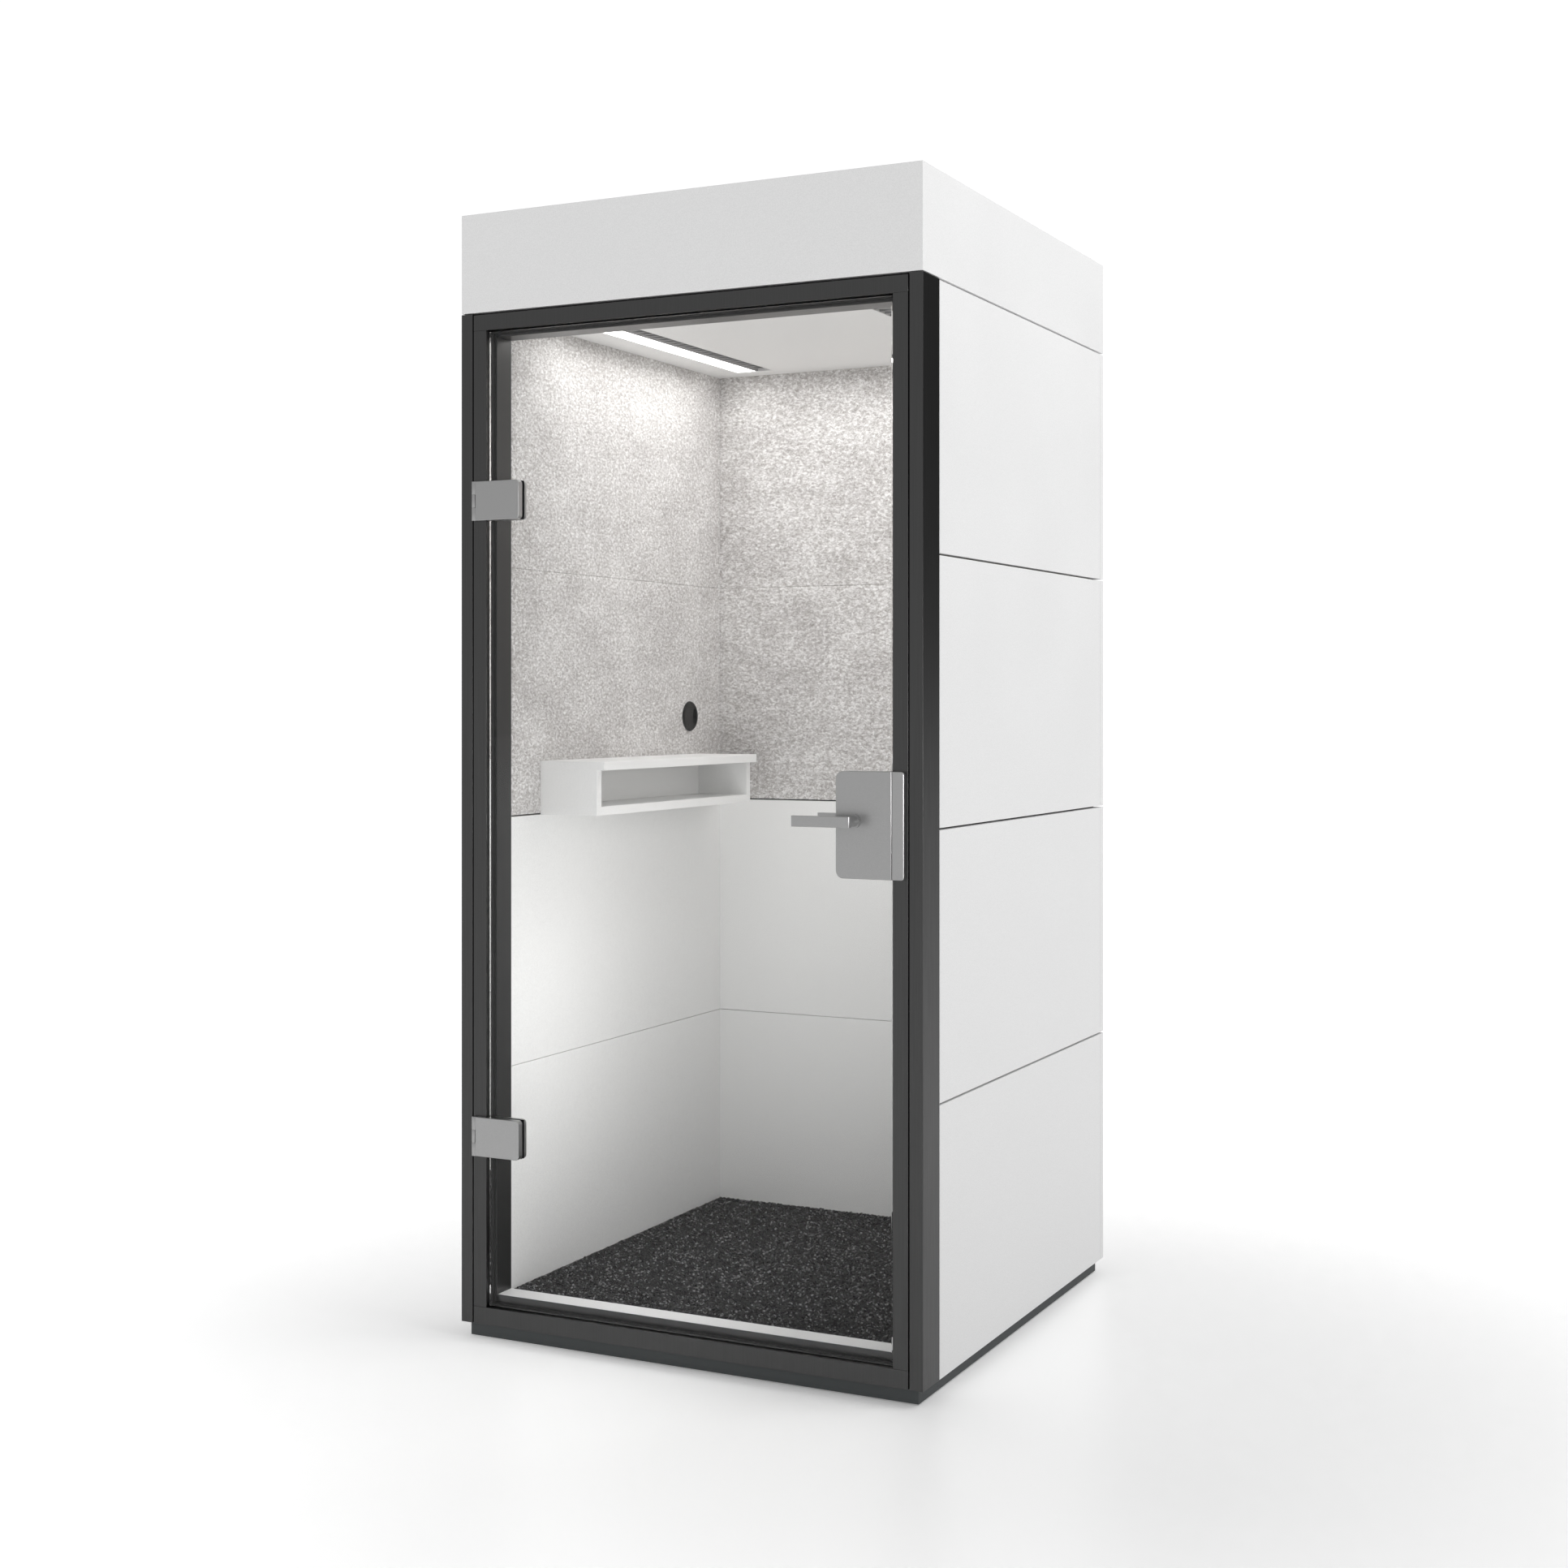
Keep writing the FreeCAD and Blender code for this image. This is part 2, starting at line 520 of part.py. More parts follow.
# ---------------------------------------------------------------- door frame
def make_front():
    """Corner posts, the four members of the door frame, its seal and the threshold strip."""
    for side, sign in (("left", "-"), ("right", "")):
        post = [
            (HALF, FRONT),
            (HALF, f"{FRONT} + post_deep"),
            (FRAME_OUT, f"{FRONT} + post_deep"),
            (FRAME_OUT, f"{FRONT} + groove_deep"),
            (f"{FRAME_OUT} + post_gap", f"{FRONT} + groove_deep"),
            (f"{FRAME_OUT} + post_gap", FRONT),
        ]
        post = [(f"{sign}({across})", along_y) for across, along_y in post]
        body = profile(f"corner_post_{side}", "XY_Plane", post, "base_height", BODY_TOP)
        node(f"corner_post_{side}", body)

        face = block(
            f"jamb_face_{side}", on_side(side, OPENING, FRAME_OUT),
            (FRONT, f"{FRONT} + rebate_deep"), (OPENING_BOTTOM, OPENING_TOP))
        lip = block(
            f"jamb_lip_{side}", on_side(side, CABIN, FRAME_OUT),
            (f"{FRONT} + rebate_deep", CABIN_FRONT), ("floor_level", LIP_TOP))
        chamber = block(
            f"jamb_chamber_{side}", on_side(side, f"{CABIN} + chamber_wall", f"{FRAME_OUT} - chamber_wall"),
            (f"{FRONT} + rebate_deep + chamber_wall", f"{CABIN_FRONT} - chamber_wall"), ("0", BODY_TOP))
        node(f"jamb_{side}", cut(f"jamb_{side}", fuse(f"jamb_solid_{side}", face, lip), chamber))

    def member(name, face_z, lip_z, chamber_z):
        """A horizontal member: its face, its lip and its hollow."""
        face = block(name + "_face", both_ways(FRAME_OUT), (FRONT, f"{FRONT} + rebate_deep"), face_z)
        lip = block(name + "_lip", both_ways(FRAME_OUT), (f"{FRONT} + rebate_deep", CABIN_FRONT), lip_z)
        hollow_y = (f"{FRONT} + rebate_deep + chamber_wall", f"{CABIN_FRONT} - chamber_wall")
        hollow = block(name + "_chamber", both_ways(HALF), hollow_y, chamber_z)
        return cut(name, fuse(name + "_solid", face, lip), hollow)

    node("frame_head", member(
        "frame_head", (OPENING_TOP, HEAD_TOP), (LIP_TOP, HEAD_TOP),
        (f"{LIP_TOP} + chamber_wall", f"{HEAD_TOP} - chamber_wall")))
    sill = member(
        "sill_profile", ("base_height", OPENING_BOTTOM), ("base_height", "floor_level"),
        ("base_height + chamber_wall", "floor_level - strip_thick - chamber_wall"))
    seat = block(
        "strip_seat", both_ways(CABIN), (f"{FRONT} + rebate_deep + chamber_wall", f"{CABIN_FRONT} + 1"),
        ("floor_level - strip_thick", "floor_level + 1"))
    node("frame_sill", cut("frame_sill", sill, seat))
    node("threshold_strip", block(
        "threshold_strip", both_ways(CABIN), (f"{FRONT} + rebate_deep + chamber_wall", CABIN_FRONT),
        ("floor_level - strip_thick", "floor_level")))

    seal_out = f"({OPENING} - soft_gap)"
    seal_in = f"({OPENING} - soft_gap - seal_wide)"
    seal_z = (f"{OPENING_BOTTOM} + soft_gap", f"{OPENING_TOP} - soft_gap")
    seal_y = (f"{GLASS_REAR} + soft_gap", f"{FRONT} + rebate_deep")
    node("door_seal", cut(
        "door_seal",
        block("seal_solid", both_ways(seal_out), seal_y, seal_z),
        block("seal_hollow", both_ways(seal_in), (FRONT, CABIN_FRONT),
              (f"{seal_z[0]} + seal_wide", f"{seal_z[1]} - seal_wide")),
    ))


# ---------------------------------------------------------------- walls
def row_span(index, gap, bottom="base_height"):
    """The low and high end on Z of a row of panels, with half a gap at each joint."""
    low = bottom if index == 0 else f"base_height + {index} * {PITCH} + {gap} / 2"
    high = f"base_height + {index + 1} * {PITCH} - {gap} / 2"
    return (low, high)


def inner_span(index):
    """The low and high end on Z of a lining board (rows 0 and 1) or a felt panel (rows 2 and 3)."""
    joints = {0: "0", 1: "lining_joint / 2", 2: "felt_shadow", 3: "felt_joint / 2"}
    tops = {0: "lining_joint / 2", 1: "0", 2: "felt_joint / 2", 3: "0"}
    low = DECK_TOP if index == 0 else f"base_height + {index} * {PITCH} + {joints[index]}"
    return (low, f"base_height + {index + 1} * {PITCH} - {tops[index]}")


def make_walls():
    """Outer panels, frames, insulation, lining boards and felt panels of the three walls."""
    side_y = (f"{FRONT} + post_deep + corner_gap", f"{CORE_BACK_OUT} - corner_gap")
    walls = {
        "left": (on_side("left", CORE_OUT, HALF), side_y),
        "right": (on_side("right", CORE_OUT, HALF), side_y),
        "back": (both_ways(HALF), (CORE_BACK_OUT, BACK)),
    }
    for wall, (x, y) in walls.items():
        panels = [block(f"outer_{wall}_{row}", x, y, row_span(row, "panel_gap")) for row in range(4)]
        node(f"outer_panels_{wall}", group(f"outer_panels_{wall}", *panels))

    frames = {
        "left": (on_side("left", CORE_IN, CORE_OUT), (CABIN_FRONT, CORE_BACK_OUT), "y"),
        "right": (on_side("right", CORE_IN, CORE_OUT), (CABIN_FRONT, CORE_BACK_OUT), "y"),
        "back": (both_ways(CORE_IN), (CORE_BACK_IN, CORE_BACK_OUT), "x"),
    }
    middle = f"(base_height + 2 * {PITCH})"
    levels = (
        (f"{DECK_TOP} + stud_wide", f"{middle} - stud_wide / 2"),
        (f"{middle} + stud_wide / 2", f"{BODY_TOP} - stud_wide"),
    )
    slabs = []
    for wall, (x, y, run) in frames.items():
        bays = []
        for step, level in enumerate(levels):
            if run == "y":
                bay = (x, (f"{y[0]} + stud_wide", f"{y[1]} - stud_wide"), level)
                slab = (x, (f"{bay[1][0]} + soft_gap", f"{bay[1][1]} - soft_gap"))
            else:
                bay = ((f"{x[0]} + stud_wide", f"{x[1]} - stud_wide"), y, level)
                slab = ((f"{bay[0][0]} + soft_gap", f"{bay[0][1]} - soft_gap"), y)
            bays.append(block(f"bay_{wall}_{step}", *bay))
            slab_z = (f"{level[0]} + soft_gap", f"{level[1]} - soft_gap")
            slabs.append(block(f"slab_{wall}_{step}", *slab, slab_z))
        solid = block(f"frame_solid_{wall}", x, y, (DECK_TOP, BODY_TOP))
        node(f"wall_frame_{wall}", cut(f"wall_frame_{wall}", solid, *bays))
    pocket_x = on_side("left", CABIN, f"{CORE_IN} + pocket_deep")
    hole_start = (pocket_x[0], GROMMET_Y, GROMMET_Z)
    hole_long = f"({pocket_x[1]}) - ({pocket_x[0]})"
    slabs[1] = cut("slab_pocketed", slabs[1], rod("slab_pocket", "x", hole_start, "grommet_hole", hole_long))
    node("wall_insulation", group("wall_insulation", *slabs))

    linings = {
        "left": (on_side("left", CABIN, CORE_IN), (CABIN_FRONT, CORE_BACK_IN)),
        "right": (on_side("right", CABIN, CORE_IN), (CABIN_FRONT, CORE_BACK_IN)),
        "back": (both_ways(CABIN), (CABIN_BACK, CORE_BACK_IN)),
    }
    for wall, (x, y) in linings.items():
        boards = [block(f"lining_{wall}_{row}", x, y, inner_span(row)) for row in range(2)]
        felts = [block(f"felt_{wall}_{row}", x, y, inner_span(row)) for row in range(2, 4)]
        if wall == "left":
            hole = rod("felt_hole", "x", hole_start, "grommet_hole", hole_long)
            felts[0] = cut("felt_holed", felts[0], hole)
        node(f"lining_boards_{wall}", group(f"lining_boards_{wall}", *boards))
        node(f"felt_panels_{wall}", group(f"felt_panels_{wall}", *felts))


# ---------------------------------------------------------------- top
def fixture_span(side, low, high):
    """A span on X measured from a fixture's outer edge towards the centre line."""
    return on_side(side, f"{FIXTURE_OUT} - ({high})", f"{FIXTURE_OUT} - ({low})")


def make_fixtures():
    """Light and air fixtures: channel, diffuser and louvre on each side."""
    channels = []
    diffusers = []
    louvres = []
    end_y = (f"{FIXTURE_ENDS[0]} + fixture_sheet", f"{FIXTURE_ENDS[1]} - fixture_sheet")
    for side in ("left", "right"):
        shell = block(
            f"channel_solid_{side}", fixture_span(side, "0", "fixture_wide"), FIXTURE_ENDS,
            (BODY_TOP, f"{BODY_TOP} + fixture_tall"))
        lamp = block(
            f"lamp_room_{side}", fixture_span(side, "fixture_sheet", "divider_at - fixture_sheet / 2"), end_y,
            (f"{BODY_TOP} - 1", f"{BODY_TOP} + fixture_tall - fixture_sheet"))
        air_x = fixture_span(side, "divider_at + fixture_sheet / 2", "fixture_wide - fixture_sheet")
        air_z = (f"{BODY_TOP} - 1", f"{BODY_TOP} + fixture_tall + 1")
        air = block(f"air_room_{side}", air_x, end_y, air_z)
        channels.append(cut(f"channel_{side}", shell, lamp, air))

        soft_y = (f"{end_y[0]} + slot_gap", f"{end_y[1]} - slot_gap")
        lamp_x = fixture_span(side, "fixture_sheet + slot_gap", "divider_at - fixture_sheet / 2 - slot_gap")
        lamp_z = (f"{BODY_TOP} + diffuser_up", f"{BODY_TOP} + diffuser_up + diffuser_thick")
        diffusers.append(block(f"diffuser_{side}", lamp_x, soft_y, lamp_z))

        # The louvre is a strip on the divider's side, and its fins point at the slot's other side.
        near = f"({FIXTURE_OUT} - divider_at - fixture_sheet / 2 - slot_gap)"
        far = f"({FIXTURE_OUT} - fixture_wide + fixture_sheet + slot_gap)"
        sign = "-" if side == "left" else ""
        louvres.append((near, far, sign, soft_y))
    node("light_channels", group("light_channels", *channels))
    node("light_diffusers", group("light_diffusers", *diffusers))

    slot_long = float(sheet.get("overall_depth") - sheet.get("frame_deep") - sheet.get("wall")) - 2 * float(
        sheet.get("fixture_end") + sheet.get("fixture_sheet") + sheet.get("slot_gap"))
    fins = int((slot_long - float(sheet.get("fin_base"))) / float(sheet.get("fin_pitch")))
    fin_z = (f"{BODY_TOP} + diffuser_up", f"{BODY_TOP} + diffuser_up + fin_tall")
    strips = []
    for number, (near, far, sign, soft_y) in enumerate(louvres):
        points = [(f"{sign}({near})", soft_y[0]), (f"{sign}({near})", soft_y[1])]
        points.append((f"{sign}({near} - fin_base)", soft_y[1]))
        for step in reversed(range(fins)):
            root = f"{soft_y[0]} + {step} * fin_pitch"
            points.append((f"{sign}({near} - fin_base)", f"{root} + fin_pitch"))
            points.append((f"{sign}({far})", f"{root} + fin_pitch / 2"))
        points.append((f"{sign}({near} - fin_base)", soft_y[0]))
        strips.append(profile(f"louvre_{number}", "XY_Plane", points, *fin_z))
    node("air_louvres", group("air_louvres", *strips))


def make_fan(side, sign):
    """A ventilation fan under the roof lid: its housing, and its rotor with a shaft."""
    centre_x = f"{sign}fan_at"
    bottom = f"({LID_BOTTOM} - fan_deep)"
    half = "(fan_size / 2)"
    frame = block(
        f"fan_frame_{side}", (f"{centre_x} - {half}", f"{centre_x} + {half}"),
        (f"{FAN_Y} - {half}", f"{FAN_Y} + {half}"), (bottom, LID_BOTTOM))
    duct = rod(f"fan_duct_{side}", "z", (centre_x, FAN_Y, f"{bottom} - 1"), "fan_bore", "fan_deep + 2")
    arm_z = (f"{LID_BOTTOM} - arm_thick", LID_BOTTOM)
    across = (f"{centre_x} - fan_bore - 1", f"{centre_x} + fan_bore + 1")
    along = (f"{FAN_Y} - fan_bore - 1", f"{FAN_Y} + fan_bore + 1")
    arm_x = (f"{centre_x} - arm_wide / 2", f"{centre_x} + arm_wide / 2")
    arm_y = (f"{FAN_Y} - arm_wide / 2", f"{FAN_Y} + arm_wide / 2")
    boss_bottom = f"{LID_BOTTOM} - motor_tall"
    arms = fuse(
        f"fan_arms_{side}",
        block(f"fan_arm_x_{side}", across, arm_y, arm_z),
        block(f"fan_arm_y_{side}", arm_x, along, arm_z),
        rod(f"fan_motor_{side}", "z", (centre_x, FAN_Y, boss_bottom), "motor_radius", "motor_tall"),
    )
    hole_start = (centre_x, FAN_Y, f"{boss_bottom} - 1")
    shaft_hole = rod(f"fan_hole_{side}", "z", hole_start, "fan_shaft + running_gap", "motor_tall - 1")
    open_frame = cut(f"fan_open_{side}", frame, duct)
    housing = cut(f"fan_housing_{side}", fuse(f"fan_all_{side}", open_frame, arms), shaft_hole)

    body = start_body(f"fan_rotor_{side}", (centre_x, FAN_Y, f"{bottom} + rotor_gap"))
    hub = sketch_on(body, "XY_Plane")
    circle(hub, ("0", "0"), "hub_radius")
    pad(body, hub, "hub_tall")
    blade = sketch_on(body, "XY_Plane", "1")
    outline(blade, [("hub_radius - 3", "-hub_radius * 0.45"), ("blade_tip * 0.9", "-blade_tip * 0.4"),
                    ("blade_tip * 0.99", "-blade_tip * 0.1"), ("hub_radius - 3", "-hub_radius * 0.2")])
    blade_pad = pad(body, blade, "blade_tall")
    doc.recompute()
    ring = body.newObject("PartDesign::PolarPattern", f"fan_blades_{side}")
    ring.Originals = [blade_pad]
    ring.Axis = (blade, ["N_Axis"])
    ring.Angle = 360
    ring.Occurrences = 7
    body.Tip = ring
    doc.recompute()
    shaft = sketch_on(body, "XY_Plane", "hub_tall - 1")
    circle(shaft, ("0", "0"), "fan_shaft")
    pad(body, shaft, "shaft_long")
    node(f"fan_rotor_{side}", body)
    return housing


def make_top():
    """Roof frame, crown, ceiling, roof lid, fans, driver and mains inlet."""
    beam_in = f"({CORE_OUT} - roof_beam)"
    beam_z = (BODY_TOP, f"{BODY_TOP} + roof_beam_tall")
    outer_y = (f"{FRONT} + crown_board", f"{BACK} - crown_board")
    inner_y = (f"{outer_y[0]} + roof_beam", f"{outer_y[1]} - roof_beam")
    node("roof_frame", cut(
        "roof_frame",
        block("roof_solid", both_ways(CORE_OUT), outer_y, beam_z),
        block("roof_hollow", both_ways(beam_in), inner_y, (f"{BODY_TOP} - 1", f"{beam_z[1]} + 1")),
    ))
    inlet_x = ("-inlet_wide / 2 - inlet_at", "inlet_wide / 2 - inlet_at")
    inlet_low = f"({BODY_TOP} + roof_beam_tall + inlet_up)"
    inlet_z = (inlet_low, f"{inlet_low} + inlet_tall")
    ledge_x = f"({HALF} - crown_board - ledge_wide)"
    ledge_y = (f"{outer_y[0]} + ledge_wide", f"{outer_y[1]} - ledge_wide")
    room_x = both_ways(f"{HALF} - crown_board")
    walls = block("crown_solid", both_ways(HALF), (FRONT, BACK), (CROWN_BOTTOM, "overall_height"))
    node("crown", cut(
        "crown", walls,
        block("crown_under", room_x, outer_y, ("0", f"{LID_BOTTOM} - ledge_wide")),
        block("crown_hole", both_ways(ledge_x), ledge_y, ("0", "overall_height + 1")),
        block("crown_over", room_x, outer_y, (LID_BOTTOM, "overall_height + 1")),
        block("inlet_hole", inlet_x, (f"{outer_y[1]} - 1", f"{BACK} + 1"), inlet_z),
    ))
    node("mains_inlet", cut(
        "mains_inlet",
        block("inlet_solid", inlet_x, (f"{BACK} - inlet_deep", BACK), inlet_z),
        block("inlet_recess", (f"{inlet_x[0]} + inlet_wall", f"{inlet_x[1]} - inlet_wall"),
              (f"{BACK} - inlet_deep + inlet_wall", f"{BACK} + 1"),
              (f"{inlet_z[0]} + inlet_wall", f"{inlet_z[1]} - inlet_wall")),
    ))
    cut_outs = [
        block(f"ceiling_hole_{side}", fixture_span(side, "0", "fixture_wide"), FIXTURE_ENDS,
              (f"{BODY_TOP} - 1", f"{BODY_TOP} + ceiling_thick + 1"))
        for side in ("left", "right")
    ]
    ceiling_z = (BODY_TOP, f"{BODY_TOP} + ceiling_thick")
    ceiling = block("ceiling_solid", both_ways(beam_in), (CABIN_FRONT, inner_y[1]), ceiling_z)
    node("ceiling_panel", cut("ceiling_panel", ceiling, *cut_outs))

    housings = [make_fan(side, sign) for side, sign in (("left", "-"), ("right", ""))]
    node("fan_housings", group("fan_housings", *housings))
    lid_x = f"({HALF} - crown_board - lid_gap)"
    lid_y = (f"{outer_y[0]} + lid_gap", f"{outer_y[1]} - lid_gap")
    ports = []
    for side, sign in (("left", "-"), ("right", "")):
        start = (f"{sign}fan_at", FAN_Y, f"{LID_BOTTOM} - 1")
        ports.append(rod(f"lid_port_{side}", "z", start, "fan_bore", "lid_thick + 2"))
    node("roof_lid", cut(
        "roof_lid", block("lid_solid", both_ways(lid_x), lid_y, (LID_BOTTOM, LID_TOP)), *ports))
    guards = []
    for side, sign in (("left", "-"), ("right", "")):
        centre = (f"{sign}fan_at", FAN_Y, LID_TOP)
        disc = rod(f"guard_disc_{side}", "z", centre, "fan_bore + guard_rim", "grille_thick")
        slots = []
        for step in range(-4, 5):
            middle = f"{centre[0]} + {step} * fan_bore / 5"
            reach = f"({math.sqrt(1 - (step / 5) ** 2):.6f} * fan_bore - guard_bar)"
            slot_x = (f"{middle} - guard_bar", f"{middle} + guard_bar")
            slot_y = (f"{FAN_Y} - {reach}", f"{FAN_Y} + {reach}")
            slot_z = (f"{LID_TOP} - 1", f"{LID_TOP} + grille_thick + 1")
            slots.append(block(f"guard_slot_{side}_{step + 4}", slot_x, slot_y, slot_z))
        guards.append(cut(f"guard_{side}", disc, *slots))
    node("fan_guards", group("fan_guards", *guards))
    driver_low = f"{BODY_TOP} + ceiling_thick"
    driver_y = (f"{FAN_Y} - driver_long / 2", f"{FAN_Y} + driver_long / 2")
    driver_z = (driver_low, f"{driver_low} + driver_tall")
    node("light_driver", block("light_driver", both_ways("driver_wide / 2"), driver_y, driver_z))


# ---------------------------------------------------------------- shelf and cable grommet
def make_shelf():
    """The open shelf box on the left wall."""
    y = (f"({FRONT} + shelf_start)", f"({CABIN_BACK} - shelf_end)")
    top = f"({SHELF_BOTTOM} + shelf_tall)"
    box_x = on_side("left", f"{CABIN} - shelf_deep", CABIN)
    edge_x = f"-({CABIN} - shelf_deep - shelf_overhang)"
    corners = [(f"-{CABIN}", y[0]), (edge_x, y[0]), (edge_x, y[1]), (f"-{CABIN}", y[1])]
    board = profile("shelf_top", "XY_Plane", corners, f"{top} - shelf_board", top)
    round_edges(board, "shelf_ease", free_top_edge, "Chamfer")
    node("shelf_top", board)
    bottom_z = (SHELF_BOTTOM, f"{SHELF_BOTTOM} + shelf_board")
    node("shelf_bottom", block("shelf_bottom", box_x, y, bottom_z))
    between = (bottom_z[1], f"{top} - shelf_board")
    inside_y = (f"{y[0]} + shelf_board", f"{y[1]} - shelf_board")
    ends = [
        block("shelf_end_front", box_x, (y[0], inside_y[0]), between),
        block("shelf_end_rear", box_x, (inside_y[1], y[1]), between),
    ]
    node("shelf_ends", group("shelf_ends", *ends))
    back_x = on_side("left", f"{CABIN} - shelf_back_thick", CABIN)
    node("shelf_back", block("shelf_back", back_x, inside_y, between))


def make_grommet():
    """The round cable grommet in the left wall, with a cap that turns."""
    spot = (f"-{CABIN}", GROMMET_Y, GROMMET_Z)
    facing_in = Rotation(Vector(0, 0, 1), -90)
    ledge = "(cap_radius - cap_ledge)"
    tube = "(grommet_hole - grommet_gap)"
    seat = "(cap_radius + running_gap)"
    cap_top = "(grommet_proud - cap_sunk)"
    cap_floor = f"({cap_top} - cap_thick)"
    sleeve = start_body("grommet_sleeve", spot)
    sleeve.Placement.Rotation = facing_in
    outline(sketch_on(sleeve, "XY_Plane"), [
        (ledge, "-inner_board"),
        (tube, "-inner_board"),
        (tube, "0"),
        ("grommet_rim", "0"),
        ("grommet_rim", "grommet_proud - grommet_bevel"),
        ("grommet_rim - grommet_bevel", "grommet_proud"),
        (seat, "grommet_proud"),
        (seat, f"{cap_floor} - barrel_gap"),
        (ledge, f"{cap_floor} - barrel_gap"),
    ])
    turned(sleeve, sleeve.Group[-1])
    node("grommet_sleeve", sleeve)

    cap = start_body("grommet_cap", spot)
    cap.Placement.Rotation = facing_in
    disc = sketch_on(cap, "XZ_Plane", f"-{cap_top}")
    circle(disc, ("0", "0"), "cap_radius")
    pad(cap, disc, "cap_thick")
    doc.recompute()
    slot = sketch_on(cap, "XZ_Plane", f"-({cap_top} + 1)")
    rectangle(slot, ("-cap_radius - 1", "-cap_radius + cap_slot"), both_ways("cap_slot_tall / 2"))
    pocket(cap, slot, "cap_thick + 2")
    node("grommet_cap", cap)


# ---------------------------------------------------------------- door
def plate(name, x, y, z, radius, corners, bevel=None, face=at_front):
    """An upright plate that faces the door's front, with rounded corners and a bevelled face."""
    body = profile(name, "XZ_Plane", [(x[0], z[0]), (x[1], z[0]), (x[1], z[1]), (x[0], z[1])], *y)
    wanted = {"left": left_corner, "right": right_corner}[corners]
    round_edges(body, radius, wanted)
    if bevel:
        round_edges(body, bevel, face, "Chamfer")
    return body


def bolt(name, spot, radius, length, head_radius, key_radius):
    """A bolt that runs back from spot to a sunk head with a key hole. Length is up to the head's face."""
    across, start, height = spot
    face = f"({start} + {length})"
    shank = rod(name + "_shank", "y", spot, radius, length)
    head = rod(name + "_head", "y", (across, f"{face} - head_thick", height), head_radius, "head_thick")
    key_spot = (across, f"{face} - head_thick + head_sunk", height)
    key = rod(name + "_key", "y", key_spot, key_radius, "head_thick")
    return cut(name, fuse(name + "_all", shank, head), key)


